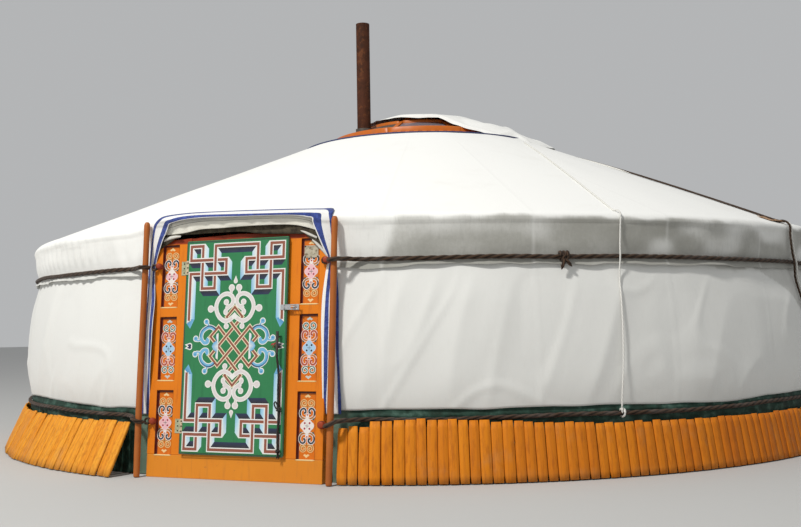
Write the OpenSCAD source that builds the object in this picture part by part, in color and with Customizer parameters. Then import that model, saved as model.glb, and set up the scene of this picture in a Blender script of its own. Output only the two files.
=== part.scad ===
// A felt tent with a round lattice wall, a pole roof, a smoke crown and a painted wooden door.
// The door faces -Y, +Z is up, and the origin is the middle of the tent on the ground.
// All lengths are millimetres. Angles round the tent are counted from the door towards +X.

/* [Wall] */
// Outer radius of the canvas at the upper belt rope
wall_r = 3478; // [3200:1:3800]
// How far the canvas belly stands outside the belt
belly_out = 88; // [60:1:120]
// How far the canvas hem stands outside the belt
hem_out = 67; // [55:1:90]
// Height of the belly
belly_z = 670; // [600:1:750]
// Height of the canvas hem
hem_z = 440; // [410:1:500]
// Thickness of a canvas sheet
canvas_t = 6; // [4:0.5:8]
// Room between two soft layers
layer_gap = 2; // [1.5:0.1:3]
// Felt panels round the wall and on the roof
wall_panels = 24; // [16:2:32]

/* [Lattice] */
// How far the lattice's foot stands outside the belt
lattice_foot_out = 12; // [5:1:20]
// Inward lean of the lattice, in degrees
lattice_lean = 2.5; // [1.5:0.1:3]
// Lattice sections round the tent
lattice_sections = 6; // [4:1:8]
// Flat runs in one section
runs_per_section = 4; // [3:1:6]
// Diamond cells across one run
cells_across = 3; // [2:1:4]
// Diamond cells from foot to head
cells_up = 4; // [3:1:5]
// Width of a lattice strip
strip_w = 32; // [24:1:40]
// Thickness of a lattice strip
strip_t = 12; // [9:1:14]

/* [Roof] */
// Slope of the roof, in degrees
roof_pitch = 22; // [18:0.5:26]
// Height of the pole tops at the eave
eave_z = 1640; // [1500:1:1800]
// How far inside the belt the eave height is taken
eave_in = 38; // [25:1:60]
// How far a pole runs past the eave radius
pole_tail = 20; // [10:1:30]
// Roof poles round the tent
pole_count = 72; // [48:8:96]
// Side of a square roof pole
roof_pole_w = 40; // [30:1:50]
// Thickness of the roof felt
roof_felt_t = 26; // [18:1:30]
// How far outside the crown ring the roof felt starts
felt_eye_gap = 50; // [30:1:70]
// How far outside the crown ring the roof canvas starts
canvas_eye_gap = 110; // [80:1:150]
// How far the drape hangs below the upper belt rope
drape_below = 45; // [35:1:60]
// How far the eave shoulder stands outside the belt
shoulder_out = 38; // [30:1:60]

/* [Crown] */
// Outer radius of the crown ring
crown_r = 850; // [800:1:870]
// Width of the crown ring
crown_ring_w = 80; // [60:1:100]
// Height of the crown ring
crown_ring_h = 110; // [90:1:130]
// Radius at the middle of the upper ring
upper_ring_r = 500; // [460:1:540]
// Section of the upper ring
upper_ring_w = 56; // [44:1:60]
// Height of the upper ring above the crown ring's top
upper_rise = 120; // [90:1:150]
// Radius of the hub
hub_r = 170; // [140:1:200]
// Height of the hub's top above the crown ring's top
hub_rise = 225; // [200:1:260]
// Width of a crown spoke
spoke_w = 40; // [30:1:50]
// Depth of a crown spoke
spoke_h = 46; // [36:1:56]
// Thickness of a crown pane
pane_t = 5; // [4:0.5:8]
// Radius of a crown post
post_r = 38; // [30:1:50]
// Length of the board on a crown post
cap_l = 600; // [400:1:700]
// Thickness of the board on a crown post
cap_t = 30; // [20:1:40]

/* [Smoke flap] */
// Angle at which the flap starts
flap_from = 62; // [50:1:80]
// Angle that the flap covers
flap_angle = 186; // [150:1:200]
// Outer radius of the flap
flap_r = 1330; // [1200:1:1500]
// Height of the flap over what carries it
flap_lift = 12; // [8:1:20]

/* [Stovepipe] */
// Outer diameter of the stovepipe
pipe_d = 126; // [100:1:140]
// Wall of the stovepipe
pipe_wall = 3; // [2:0.5:5]
// Distance of the stovepipe from the middle
pipe_reach = 655; // [645:1:665]
// Angle at which the stovepipe stands
pipe_angle = -33.6; // [-36:0.1:-30]
// Height of the stovepipe's top
pipe_top_z = 3790; // [3400:1:4200]
// Length of stovepipe under the crown
pipe_below = 300; // [200:1:400]
// Room between the stovepipe and its collar
pipe_fit = 0.5; // [0.3:0.1:1]
// Width of the collar on the pipe plate
collar_w = 14; // [8:1:18]
// Height of the collar on the pipe plate
collar_h = 40; // [30:1:60]

/* [Skirt] */
// Height of the plank skirt
plank_h = 350; // [280:1:370]
// Thickness of a plank
plank_t = 22; // [16:1:30]
// Room between the tarpaulin and the heads of the planks
plank_room = 39; // [32:1:60]
// How far the skirt's foot stands out from its top
plank_splay = 68; // [40:1:110]
// How far the left run's foot stands out from its top
left_splay = 190; // [150:1:210]
// Angle at which the left run ends
left_run_end = 75; // [60:1:78]
// Thickness of the tarpaulin
tarp_t = 5; // [4:0.5:6]
// How far the tarpaulin reaches up behind the canvas
tarp_lap = 70; // [40:1:100]

/* [Door frame] */
// How far the frame's face stands outside the belt, at the ground
door_face_out = 79; // [65:1:90]
// Backward lean of the door, in degrees
door_lean = 4.75; // [4:0.05:5.5]
// Overall width of the frame
frame_w = 1280; // [1240:1:1320]
// How far the top of the frame's sides stays below the eave height, along its slope
frame_drop = 86; // [70:1:95]
// Depth of the frame
frame_d = 140; // [120:1:150]
// Width of an outer stile
outer_stile_w = 56; // [50:1:70]
// Width of a painted panel
panel_w = 128; // [120:1:140]
// Width of the door opening
opening_w = 716; // [700:1:730]
// Height of the threshold
threshold_h = 145; // [130:1:150]
// Height at which the door opening starts
opening_z = 176; // [170:1:190]
// Height of the frame's corners over the door opening
lintel_h = 30; // [24:1:45]
// How much higher the frame's top is at its middle
lintel_rise = 24; // [12:1:30]
// Height of one panel rail
rail_h = 67; // [55:1:80]
// How deep the panels lie behind the face
panel_recess = 18; // [12:1:25]
// Thickness of a panel board
panel_t = 14; // [10:1:18]
// Room between the frame's side and the wall
jamb_gap = 22; // [20:1:30]
// Width of the number plate
plate_w = 98; // [80:1:105]
// Height of the number plate
plate_h = 78; // [60:1:90]
// Thickness of the number plate
plate_t = 4; // [2:0.5:6]
// How far the number plate's top stays below the head of its panel
plate_drop = 44; // [30:1:60]

/* [Door leaf] */
// How far the leaf covers the frame at each side
leaf_side_lap = 17.5; // [14:0.5:22]
// How far the leaf covers the lintel
leaf_head_lap = 16; // [10:1:20]
// How far the leaf covers the threshold
leaf_foot_lap = 14; // [10:1:20]
// Thickness of the leaf
leaf_t = 20; // [16:1:26]
// Room behind the leaf
leaf_gap = 5; // [5:0.5:8]
// Radius of a hinge barrel
barrel_r = 7; // [5:0.5:8]
// Height of a hinge
hinge_h = 92; // [70:1:110]
// Width of a fixed hinge plate
hinge_plate_w = 46; // [35:1:55]
// Thickness of the hinge plates
hinge_plate_t = 3; // [2:0.5:4]
// Width of a hinge plate on the leaf's face
hinge_leaf_w = 16; // [12:1:24]
// Distance of the lower hinge's middle from the leaf's foot
hinge_low_in = 169; // [140:1:200]
// Distance of the upper hinge's middle from the leaf's head
hinge_high_in = 177; // [160:1:200]
// Length of the handle
handle_l = 130; // [110:1:160]
// Radius of the handle
handle_r = 9; // [7:0.5:12]
// Height of the handle's middle
handle_z = 868; // [850:1:900]
// Distance of the handle from the leaf's free edge
handle_inset = 42; // [35:1:60]
// Room between the leaf and the handle
handle_off = 24; // [20:1:30]

/* [Hasp] */
// Height of the hasp's middle
hasp_z = 1086; // [1050:1:1120]
// Height of the hasp's plates
hasp_h = 34; // [28:1:40]
// Thickness of the hasp's plates
hasp_t = 3; // [2:0.5:4]
// Width of the hasp plate on the leaf
hasp_plate_w = 30; // [24:1:36]
// Length of the hasp arm
hasp_arm_l = 104; // [90:1:120]
// Radius of the hasp pin barrel
hasp_pin_r = 5; // [4:0.5:6]
// Length of the slot in the arm
slot_l = 44; // [40:1:50]
// Height of the slot in the arm
slot_h = 18; // [17:1:20]
// Radius of the staple's wire
staple_r = 3; // [2.5:0.5:4]
// Distance between the staple's legs
staple_span = 22; // [20:1:24]

/* [Poles and ropes] */
// Radius of a door pole
door_pole_r = 21; // [18:1:26]
// Distance of the left door pole's middle from the frame's side
pole_left_out = 38; // [34:1:50]
// Distance of the right door pole's middle from the frame's side
pole_right_out = 70; // [56:1:80]
// How far a door pole reaches above the eave height
door_pole_over = 40; // [0:1:60]
// How far a door pole's foot stands in front of the frame's face
pole_foot_out = 51; // [45:1:60]
// Radius of a belt rope
belt_r = 15; // [12:0.5:18]
// How far the upper belt rope lies below the eave height
upper_belt_drop = 265; // [240:1:280]
// How far the lower belt rope lies below the canvas hem
lower_belt_drop = 53; // [45:1:65]
// Radius of a roof rope
roof_rope_r = 9; // [7:0.5:12]
// Radius of a rope peg
peg_r = 12; // [10:1:14]
// How far a rope peg stands out of the frame
peg_out = 46; // [42:1:55]
// Radius of the pull rope
pull_rope_r = 8; // [6:0.5:9]
// Width of the doorway's striped border
trim_w = 54; // [40:1:60]
// Thickness of the doorway's striped border
trim_t = 5; // [4:0.5:6]
// Height of the lining over the lintel
hood_h = 28; // [20:1:45]

/* [Hidden] */
// Sides of a large round piece, and of a small one
ring_fn = 360;
rod_fn = 24;

// Sizes that follow from the wall, the roof and the door
upper_belt_z = eave_z - upper_belt_drop;
lower_belt_z = hem_z - lower_belt_drop;
drape_hem_z = upper_belt_z - drape_below;
lattice_foot_r = wall_r + lattice_foot_out;
eave_r = wall_r - eave_in;
felt_eye_r = crown_r + felt_eye_gap;
canvas_eye_r = crown_r + canvas_eye_gap;
door_face_y = wall_r + door_face_out;
frame_h = eave_z - frame_drop;
opening_top = frame_h - lintel_h;
leaf_w = opening_w + 2 * leaf_side_lap;
leaf_z = opening_z - leaf_foot_lap;
leaf_h = opening_top + leaf_head_lap - leaf_z;
hinge_low_z = leaf_z + hinge_low_in;
hinge_high_z = leaf_z + leaf_h - hinge_high_in;
door_pole_h = eave_z + door_pole_over;

// Half of the doorway's angle in the wall
gap_angle = asin((frame_w / 2 + jamb_gap) / wall_r);
wall_angle = 360 - 2 * gap_angle;
run_count = lattice_sections * runs_per_section;
run_angle = wall_angle / run_count;

// Height of a pole's top and underside at a radius
function pole_top(r) = eave_z + (eave_r - r) * tan(roof_pitch);
function pole_under(r) = pole_top(r) - roof_pole_w / cos(roof_pitch);
// Height of the roof felt's and the roof canvas's top at a radius
function felt_top(r) = pole_top(r) + layer_gap + roof_felt_t;
function canvas_top(r) = felt_top(r) + layer_gap + canvas_t;
// Outer radius of the lattice at a height
function lattice_r(z) = lattice_foot_r - z * tan(lattice_lean);
// Outer radius of the canvas at a height: a bulge above the belly and a slight tuck below it
function canvas_r(z) = z < belly_z
    ? wall_r + belly_out - (belly_out - hem_out) * pow((belly_z - z) / (belly_z - hem_z), 2)
    : z < upper_belt_z
        ? wall_r + belly_out * (1 - pow((z - belly_z) / (upper_belt_z - belly_z), 2))
        : wall_r;
// Distance from the canvas's outside to the felt's outside
felt_inset = canvas_t + layer_gap + tarp_t + layer_gap;
wall_top_z = pole_under(wall_r) - layer_gap;
lattice_h = (pole_under(lattice_r(eave_z)) - 1) / cos(lattice_lean);
pole_end_r = eave_r + pole_tail;
// Heights of the wall's profile points
profile_z = [hem_z, belly_z, belly_z + 235, belly_z + 470, upper_belt_z, wall_top_z];
// Steps for pieces that stand side by side in one node
panel_gap_angle = 0.06;

// Crown heights
crown_top_z = pole_top(crown_r) + 40;
upper_z = crown_top_z + upper_rise;
hub_z = crown_top_z + hub_rise;
crown_in_r = crown_r - crown_ring_w;
pole_seat_gap = 1;
spoke_seat_gap = 0.5;
post_seat_gap = 0.5;
pane_drop = 12;
// How far the spokes' slots reach below and above the crown ring's top
slot_below = 200;
slot_above = 400;

// Height of the frame's top at a distance from its middle
function frame_top(u) = frame_h + lintel_rise * (1 - 2 * u / frame_w);
// Door frame rows
panel_in = frame_w / 2 - outer_stile_w - panel_w;
panel_h = (opening_top - threshold_h - 2 * rail_h) / 3;
leaf_front = -leaf_gap - leaf_t;
hinge_u = -leaf_w / 2 - barrel_r - 2;
hinge_v = -leaf_gap - barrel_r;
plate_u = frame_w / 2 - outer_stile_w - panel_w / 2;
hasp_pin_u = leaf_w / 2 - hasp_pin_r - 8;
hasp_pin_v = leaf_front - hasp_t - hasp_pin_r;
staple_u = hasp_pin_u + hasp_arm_l - slot_l / 2 - 14;

// Poles and ropes
left_pole_x = frame_w / 2 + pole_left_out;
right_pole_x = frame_w / 2 + pole_right_out;
door_pole_y = door_face_y + pole_foot_out;
// How far in front of the middle a door pole at x stands, at its top and at a height
function pole_top_y(x) = sqrt(pow(wall_r + shoulder_out + door_pole_r + 8, 2) - x * x);
function pole_at(x, z) = door_pole_y + (pole_top_y(x) - door_pole_y) * z / door_pole_h;
hem_tuck_r = canvas_r(hem_z) - canvas_t - layer_gap;
plank_top_r = hem_tuck_r + plank_room;
plank_start = asin((right_pole_x + door_pole_r + 12) / (plank_top_r + plank_splay));
left_start = asin((left_pole_x + door_pole_r + 12) / (plank_top_r + plank_t));
drape_belt_r = wall_r + layer_gap + canvas_t;
shoulder_r = wall_r + shoulder_out;
rope_end_angle = asin((right_pole_x + 115) / drape_belt_r);
// Sides of a swept rope, its steps round the wall, and room for the flats between them
rope_sides = 10;
belt_steps = 83;
roof_rope_steps = 8;
chord_room = 4;
// Angles at which the dark roof ropes cross the eave, and the pads under them
dark_feet = [70, 244];
pad_half_angle = 2.2;
pad_l = 90;
pad_t = 4;
peg_u = frame_w / 2 - 6;

// Route of the pull rope, from the handle down along the leaf to its loose end
pull_route = [[334, -3549, 804], [334, -3550, 788], [335, -3550, 769], [338, -3550, 745], [342, -3551, 715],
    [345, -3551, 685], [346, -3551, 655], [345, -3551, 625], [343, -3551, 595],
    [342, -3551, 565], [342, -3552, 535], [343, -3554, 505], [345, -3556, 475],
    [347, -3558, 445], [348, -3561, 415], [348, -3563, 385], [347, -3565, 355],
    [346, -3568, 325], [345, -3570, 295], [345, -3573, 265], [346, -3575, 235],
    [348, -3578, 205], [350, -3581, 175]];

// A profile turned from one angle to another round the tent
module sector(from, to) {
    rotate([0, 0, from - 90])
        rotate_extrude(angle = to - from, $fn = ring_fn)
            children();
}

// The same profile as separate panels side by side
module panels(from, to, count) {
    step = (to - from) / count;
    for (i = [0:count - 1])
        sector(from + i * step + panel_gap_angle, from + (i + 1) * step - panel_gap_angle)
            children();
}

// A sheet between a line of points and the same line moved by one step
module band(line, shift) {
    last = len(line) - 1;
    polygon(concat(line, [for (i = [last:-1:0]) line[i] + shift]));
}

// A round bar between two points
module rod(from, to, r) {
    d = to - from;
    translate(from)
        rotate([0, acos(d[2] / norm(d)), atan2(d[1], d[0])])
            cylinder(h = norm(d), r = r, $fn = rod_fn);
}

// The door's own frame: X across, Y into the tent, Z up along the leaning face
module door_place() {
    translate([0, -door_face_y, 0])
        rotate([-door_lean, 0, 0])
            children();
}

// A block of the door frame, between two corners of the face, with its front and back
module slab(u0, u1, w0, w1, front, back) {
    translate([u0, front, w0])
        cube([u1 - u0, back - front, w1 - w0]);
}

// A block of the door frame with its outline drawn on the face
module frame_block(outline) {
    translate([0, frame_d, 0])
        rotate([90, 0, 0])
            linear_extrude(frame_d)
                polygon(outline);
}

// One flat run of lattice: strips one way behind strips the other way
module lattice_run(angle) {
    edge_room = 4 * strip_t * tan(run_angle / 2) + 2;
    foot_w = 2 * lattice_foot_r * sin(run_angle / 2) - edge_room;
    head_w = 2 * lattice_r(lattice_h) * sin(run_angle / 2) - edge_room;
    apothem = lattice_foot_r * cos(run_angle / 2);
    rotate([0, 0, angle])
        translate([0, -apothem + 2 * strip_t, 0])
            rotate([90 - lattice_lean, 0, 0])
                union() {
                    linear_extrude(strip_t)
                        lattice_layer(foot_w, head_w, 1);
                    translate([0, 0, strip_t])
                        linear_extrude(strip_t)
                            lattice_layer(foot_w, head_w, -1);
                }
}

// The strips of one layer, cut to the run's outline
module lattice_layer(foot_w, head_w, side) {
    cell_w = foot_w / cells_across;
    cell_h = lattice_h / cells_up;
    slope = atan2(cell_h, cell_w);
    strip_l = 2 * norm([foot_w, lattice_h]);
    intersection() {
        polygon([[-foot_w / 2, 0], [foot_w / 2, 0], [head_w / 2, lattice_h], [-head_w / 2, lattice_h]]);
        for (k = [0:cells_across + cells_up])
            translate([side * (-foot_w / 2 + (k - cells_up + 0.25) * cell_w), 0])
                rotate(side > 0 ? slope : 180 - slope)
                    translate([-strip_l / 2, -strip_w / 2])
                        square([strip_l, strip_w]);
    }
}

module lattice_wall(section) {
    color("sienna")
        for (i = [0:runs_per_section - 1])
            lattice_run(gap_angle + ((section - 1) * runs_per_section + i + 0.5) * run_angle);
}

// Felt panels that stand outside the lattice
module wall_felt(from, to) {
    count = wall_panels / 2;
    color("ivory")
        panels(from, to, count)
            polygon(concat(
                [for (z = profile_z) [canvas_r(z) - felt_inset, z]],
                [[lattice_r(wall_top_z) + layer_gap, wall_top_z]],
                [[lattice_r(0) + layer_gap, 0], [canvas_r(hem_z) - felt_inset, 0]]));
}

module wall_canvas(from, to) {
    color("whitesmoke")
        sector(from, to)
            band([for (z = profile_z) [canvas_r(z), z]], [-canvas_t, 0]);
}

// Square poles from the wall's head to the crown
module roof_poles(from) {
    step = 360 / pole_count;
    per_node = pole_count / 4;
    pole_l = (pole_end_r - crown_r) / cos(roof_pitch) + roof_pole_w;
    color("chocolate")
        difference() {
            for (i = [0:per_node - 1])
                rotate([0, 0, from + (i + 0.5) * step])
                    translate([0, -pole_end_r, pole_top(pole_end_r)])
                        rotate([roof_pitch, 0, 0])
                            translate([-roof_pole_w / 2, 0, -roof_pole_w])
                                cube([roof_pole_w, pole_l, roof_pole_w]);
            cylinder(h = 2 * eave_z, r = crown_r + pole_seat_gap, $fn = ring_fn);
        }
}

module roof_felt(from, to) {
    color("ivory")
        panels(from, to, wall_panels / 2)
            band([[felt_eye_r, felt_top(felt_eye_r)], [wall_r, felt_top(wall_r)]],
                [0, -roof_felt_t]);
}

module roof_canvas() {
    color("white")
        rotate_extrude($fn = ring_fn)
            band([[canvas_eye_r, canvas_top(canvas_eye_r)], [eave_r, canvas_top(eave_r)]],
                [0, -canvas_t]);
}

// Outline of the drape's upright part, from below the shoulder to the hem
drape_line = [[shoulder_r - 6, (canvas_top(eave_r) + upper_belt_z) / 2 + 30],
    [drape_belt_r + 4, upper_belt_z + 30], [drape_belt_r, upper_belt_z],
    [drape_belt_r + 10, drape_hem_z]];

// The skirt of the roof sheet: over the shoulder and down to its hem
module eave_drape() {
    z0 = canvas_top(eave_r);
    start_r = eave_r + layer_gap;
    outer = concat([[start_r, z0], [shoulder_r - 14, z0 - 12], [shoulder_r, z0 - 38]], drape_line);
    inner = concat([for (i = [3:-1:0]) drape_line[i] - [canvas_t, 0]],
        [[shoulder_r - canvas_t, z0 - 40], [shoulder_r - 17, z0 - 18], [start_r, z0 - canvas_t]]);
    color("whitesmoke")
        sector(gap_angle, 360 - gap_angle)
            polygon(concat(outer, inner));
}

// Eight bent pieces that make the crown's main ring
module crown_ring() {
    color("darkorange")
        panels(0, 360, 8)
            translate([crown_in_r, crown_top_z - crown_ring_h])
                square([crown_ring_w, crown_ring_h]);
}

// Straight slots that let the eight spokes through a ring
module spoke_slots(z, h) {
    for (a = [0, 45, 90, 135])
        rotate([0, 0, a])
            translate([-crown_r, -spoke_w / 2, z])
                cube([2 * crown_r, spoke_w, h]);
}

module crown_upper_ring() {
    color("darkorange")
        difference() {
            rotate_extrude($fn = ring_fn)
                translate([upper_ring_r - upper_ring_w / 2, upper_z - upper_ring_w])
                    square([upper_ring_w, upper_ring_w]);
            spoke_slots(upper_z - 2 * upper_ring_w, 3 * upper_ring_w);
        }
}

// Bent spokes from the main ring over the upper ring to the hub
module crown_spokes() {
    foot_r = crown_in_r - spoke_seat_gap;
    color("darkorange")
        union() {
            for (a = [0:45:315])
                rotate([0, 0, a])
                    translate([0, spoke_w / 2, 0])
                        rotate([90, 0, 0])
                            linear_extrude(spoke_w)
                                band([[foot_r, crown_top_z - 10], [upper_ring_r, upper_z],
                                    [hub_r - 10, hub_z - 12]], [0, -spoke_h]);
            translate([0, 0, hub_z - spoke_h - 12])
                cylinder(h = spoke_h + 12, r = hub_r, $fn = 96);
        }
}

// Line of the panes between the main ring and the upper ring
pane_line = [[crown_in_r - 4, crown_top_z - 10 - pane_drop],
    [upper_ring_r + upper_ring_w / 2 + 3, upper_z - pane_drop - 16]];
// Line of the panes between the upper ring and the hub
top_pane_line = [[upper_ring_r - upper_ring_w / 2 - 3, upper_z - pane_drop],
    [hub_r + 4, hub_z - pane_drop - 18]];

// Bent clear panes between the spokes, apart from the one that the pipe passes
module crown_panes() {
    color("slategray")
        difference() {
            union() {
                sector(0, 315)
                    band(pane_line, [0, -pane_t]);
                rotate_extrude($fn = ring_fn)
                    band(top_pane_line, [0, -pane_t]);
            }
            spoke_slots(crown_top_z - slot_below, slot_below + slot_above);
        }
}

// Height of the boards' underside, and the place of the crown posts
post_top_z = crown_top_z - crown_ring_h - cap_t - 2 * post_seat_gap;
post_x = crown_in_r + crown_ring_w / 2;

// Two posts that carry the crown
module crown_posts() {
    color("darkorange")
        for (side = [-1, 1])
            translate([side * post_x, 0, 0])
                cylinder(h = post_top_z, r = post_r, $fn = 32);
}

// A board on each post, under the crown ring
module post_boards() {
    color("darkorange")
        for (side = [-1, 1])
            translate([side * post_x - crown_ring_w / 2, -cap_l / 2, post_top_z + post_seat_gap])
                cube([crown_ring_w, cap_l, cap_t]);
}

// The cloth that is pulled back from the crown, lying over its rear half
module smoke_flap() {
    color("white")
        sector(flap_from, flap_from + flap_angle)
            band([[30, hub_z + flap_lift + 20], [hub_r, hub_z + flap_lift + 10],
                [upper_ring_r, upper_z + flap_lift + 14], [crown_r, crown_top_z + flap_lift],
                [canvas_eye_r + 20, canvas_top(canvas_eye_r + 20) + flap_lift],
                [flap_r, canvas_top(flap_r) + flap_lift - 4]], [0, -canvas_t]);
}

module pipe_at() {
    rotate([0, 0, pipe_angle])
        translate([0, -pipe_reach, 0])
            children();
}

module stovepipe() {
    foot_z = crown_top_z - pipe_below;
    color("saddlebrown")
        pipe_at()
            translate([0, 0, foot_z])
                difference() {
                    cylinder(h = pipe_top_z - foot_z, d = pipe_d, $fn = 64);
                    translate([0, 0, -1])
                        cylinder(h = pipe_top_z - foot_z + 2, d = pipe_d - 2 * pipe_wall, $fn = 64);
                }
}

// Sheet metal in place of one pane, with a collar that holds the pipe
module pipe_plate() {
    collar_z = (pane_line[0][1] + pane_line[1][1]) / 2 - collar_h / 2 + 10;
    color("dimgray")
        difference() {
            union() {
                difference() {
                    sector(-45, 0)
                        band(pane_line, [0, -pane_t]);
                    spoke_slots(crown_top_z - slot_below, slot_below + slot_above);
                }
                pipe_at()
                    translate([0, 0, collar_z])
                        cylinder(h = collar_h, d = pipe_d + 2 * (pipe_fit + collar_w), $fn = 64);
            }
            pipe_at()
                translate([0, 0, collar_z - collar_h])
                    cylinder(h = 3 * collar_h, d = pipe_d + 2 * pipe_fit, $fn = 64);
        }
}

// Green tarpaulin round the foot of the wall
module skirt_tarp() {
    belly_tuck_r = hem_tuck_r + canvas_r(belly_z) - canvas_r(hem_z);
    share = tarp_lap / (belly_z - hem_z);
    color("seagreen")
        panels(gap_angle, 360 - gap_angle, wall_panels)
            band([[hem_tuck_r + 4, 0], [hem_tuck_r, lower_belt_z - 40], [hem_tuck_r, hem_z],
                [hem_tuck_r + share * (belly_tuck_r - hem_tuck_r), hem_z + tarp_lap]],
                [-tarp_t, 0]);
}

// A run of upright planks that leans on the tarpaulin
module skirt_planks(from, to, splay, count) {
    color("orange")
        panels(from, to, count)
            band([[plank_top_r + splay, 0], [plank_top_r, plank_h]], [plank_t, 0]);
}

module door_threshold() {
    color("darkorange")
        intersection() {
            door_place()
                union() {
                    slab(-frame_w / 2, frame_w / 2, -30, threshold_h, 0, frame_d);
                    slab(-opening_w / 2, opening_w / 2, threshold_h, opening_z, 0, frame_d);
                }
            translate([-frame_w, -2 * door_face_y, 0])
                cube([2 * frame_w, 2 * door_face_y, eave_z]);
        }
}

// One side of the frame: two stiles and the rails between the painted panels
module door_side(side) {
    color("darkorange")
        door_place()
            mirror([side < 0 ? 1 : 0, 0, 0])
                difference() {
                    frame_block([[opening_w / 2, threshold_h], [frame_w / 2, threshold_h],
                        [frame_w / 2, frame_h], [opening_w / 2, frame_top(opening_w / 2)]]);
                    for (i = [0:2])
                        slab(panel_in, panel_in + panel_w,
                            threshold_h + i * (panel_h + rail_h),
                            threshold_h + i * (panel_h + rail_h) + panel_h, -1, frame_d + 1);
                }
}

// The lintel, whose top slopes down from its middle to both sides
module door_lintel() {
    half = opening_w / 2;
    color("darkorange")
        door_place()
            frame_block([[-half, opening_top], [half, opening_top], [half, frame_top(half)],
                [0, frame_top(0)], [-half, frame_top(half)]]);
}

// Six boards set back in the frame
module frame_panels() {
    color("firebrick")
        door_place()
            for (side = [-1, 1], i = [0:2]) {
                u = side * (panel_in + panel_w / 2);
                w = threshold_h + i * (panel_h + rail_h);
                slab(u - panel_w / 2, u + panel_w / 2, w, w + panel_h,
                    panel_recess, panel_recess + panel_t);
            }
}

// A bare plate near the top of the right column of panels
module number_plate() {
    w = opening_top - plate_drop;
    color("silver")
        door_place()
            slab(plate_u - plate_w / 2, plate_u + plate_w / 2, w - plate_h, w,
                panel_recess - plate_t, panel_recess);
}

module door_leaf() {
    color("seagreen")
        door_place()
            slab(-leaf_w / 2, leaf_w / 2, leaf_z, leaf_z + leaf_h, leaf_front, -leaf_gap);
}

// One plate of each hinge on the frame, with the middle part of the barrel
module hinge_plates_fixed() {
    color("darkseagreen")
        door_place()
            for (w = [hinge_low_z, hinge_high_z])
                union() {
                    slab(hinge_u - hinge_plate_w, hinge_u - barrel_r - 1, w - hinge_h / 2,
                        w + hinge_h / 2, -hinge_plate_t, 0);
                    slab(hinge_u - barrel_r - 2, hinge_u, w - hinge_h / 6, w + hinge_h / 6,
                        hinge_v - hinge_plate_t / 2, hinge_v + hinge_plate_t / 2);
                    slab(hinge_u - barrel_r - 4, hinge_u - barrel_r - 1, w - hinge_h / 6,
                        w + hinge_h / 6, hinge_v - hinge_plate_t / 2, 0);
                    translate([hinge_u, hinge_v, w - hinge_h / 6])
                        cylinder(h = hinge_h / 3, r = barrel_r, $fn = 32);
                }
}

// The leaf's plate of each hinge: it comes round the leaf's edge from the outer parts of the barrel
module hinge_plates_moving() {
    edge = -leaf_w / 2;
    color("darkseagreen")
        door_place()
            for (w = [hinge_low_z, hinge_high_z])
                union() {
                    slab(edge - hinge_plate_t, edge + hinge_leaf_w, w - hinge_h / 2, w + hinge_h / 2,
                        leaf_front - hinge_plate_t, leaf_front);
                    for (end = [-1, 1])
                        moving_knuckle(w + end * hinge_h / 3, hinge_h / 6 - 1, edge);
                }
}

// An outer part of a hinge's barrel, with the web and the strip that join it to the leaf's plate
module moving_knuckle(w, half, edge) {
    translate([hinge_u, hinge_v, w - half])
        cylinder(h = 2 * half, r = barrel_r, $fn = 32);
    slab(hinge_u, edge, w - half, w + half, hinge_v - hinge_plate_t / 2, hinge_v + hinge_plate_t / 2);
    slab(edge - hinge_plate_t, edge, w - half, w + half, leaf_front - hinge_plate_t,
        hinge_v + hinge_plate_t / 2);
}

// A stick held off the leaf by two eyes
module door_handle() {
    u = leaf_w / 2 - handle_inset;
    v = leaf_front - handle_off - handle_r;
    color("dimgray")
        door_place()
            union() {
                translate([u, v, handle_z - handle_l / 2])
                    cylinder(h = handle_l, r = handle_r, $fn = rod_fn);
                for (w = [handle_z - handle_l / 4, handle_z + handle_l / 4])
                    translate([u, leaf_front, w])
                        rotate([90, 0, 0])
                            cylinder(h = handle_off + handle_r, r = 5, $fn = rod_fn);
            }
}

// Rings of points round a route, each square to the way on, with one line of them on the side named
function ring_points(route, r, side) = [for (i = [0:len(route) - 1])
    let (
        ahead = route[min(i + 1, len(route) - 1)] - route[max(i - 1, 0)],
        way = ahead / norm(ahead),
        across = cross(way, side) / norm(cross(way, side)),
        out = cross(way, across)
    )
    for (k = [0:rope_sides - 1])
        route[i] + r * (cos(360 * k / rope_sides) * across + sin(360 * k / rope_sides) * out)];

// A rope swept along a route
module rope(route, r, side) {
    last = len(route) - 1;
    wall = [for (i = [0:last - 1], k = [0:rope_sides - 1])
        let (next = (k + 1) % rope_sides)
        [i * rope_sides + k, i * rope_sides + next, (i + 1) * rope_sides + next,
            (i + 1) * rope_sides + k]];
    foot = [[for (k = [rope_sides - 1:-1:0]) k]];
    head = [[for (k = [0:rope_sides - 1]) last * rope_sides + k]];
    polyhedron(points = ring_points(route, r, side), faces = concat(wall, foot, head),
        convexity = 6);
}

// A rope that hangs loose from the handle
module pull_rope() {
    color("saddlebrown")
        rope(pull_route, pull_rope_r, [0, 1, 0]);
}

// The hasp's plate on the leaf, with the outer parts of its barrel
module hasp_plate() {
    color("silver")
        door_place()
            union() {
                slab(hasp_pin_u - hasp_plate_w, hasp_pin_u, hasp_z - hasp_h / 2,
                    hasp_z + hasp_h / 2, leaf_front - hasp_t, leaf_front);
                for (end = [-1, 1]) {
                    translate([hasp_pin_u, hasp_pin_v, hasp_z + end * hasp_h / 3 - hasp_h / 6])
                        cylinder(h = hasp_h / 3, r = hasp_pin_r, $fn = 32);
                    slab(hasp_pin_u - hasp_pin_r, hasp_pin_u,
                        hasp_z + end * hasp_h / 3 - hasp_h / 6,
                        hasp_z + end * hasp_h / 3 + hasp_h / 6, hasp_pin_v, leaf_front - hasp_t);
                }
            }
}

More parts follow.
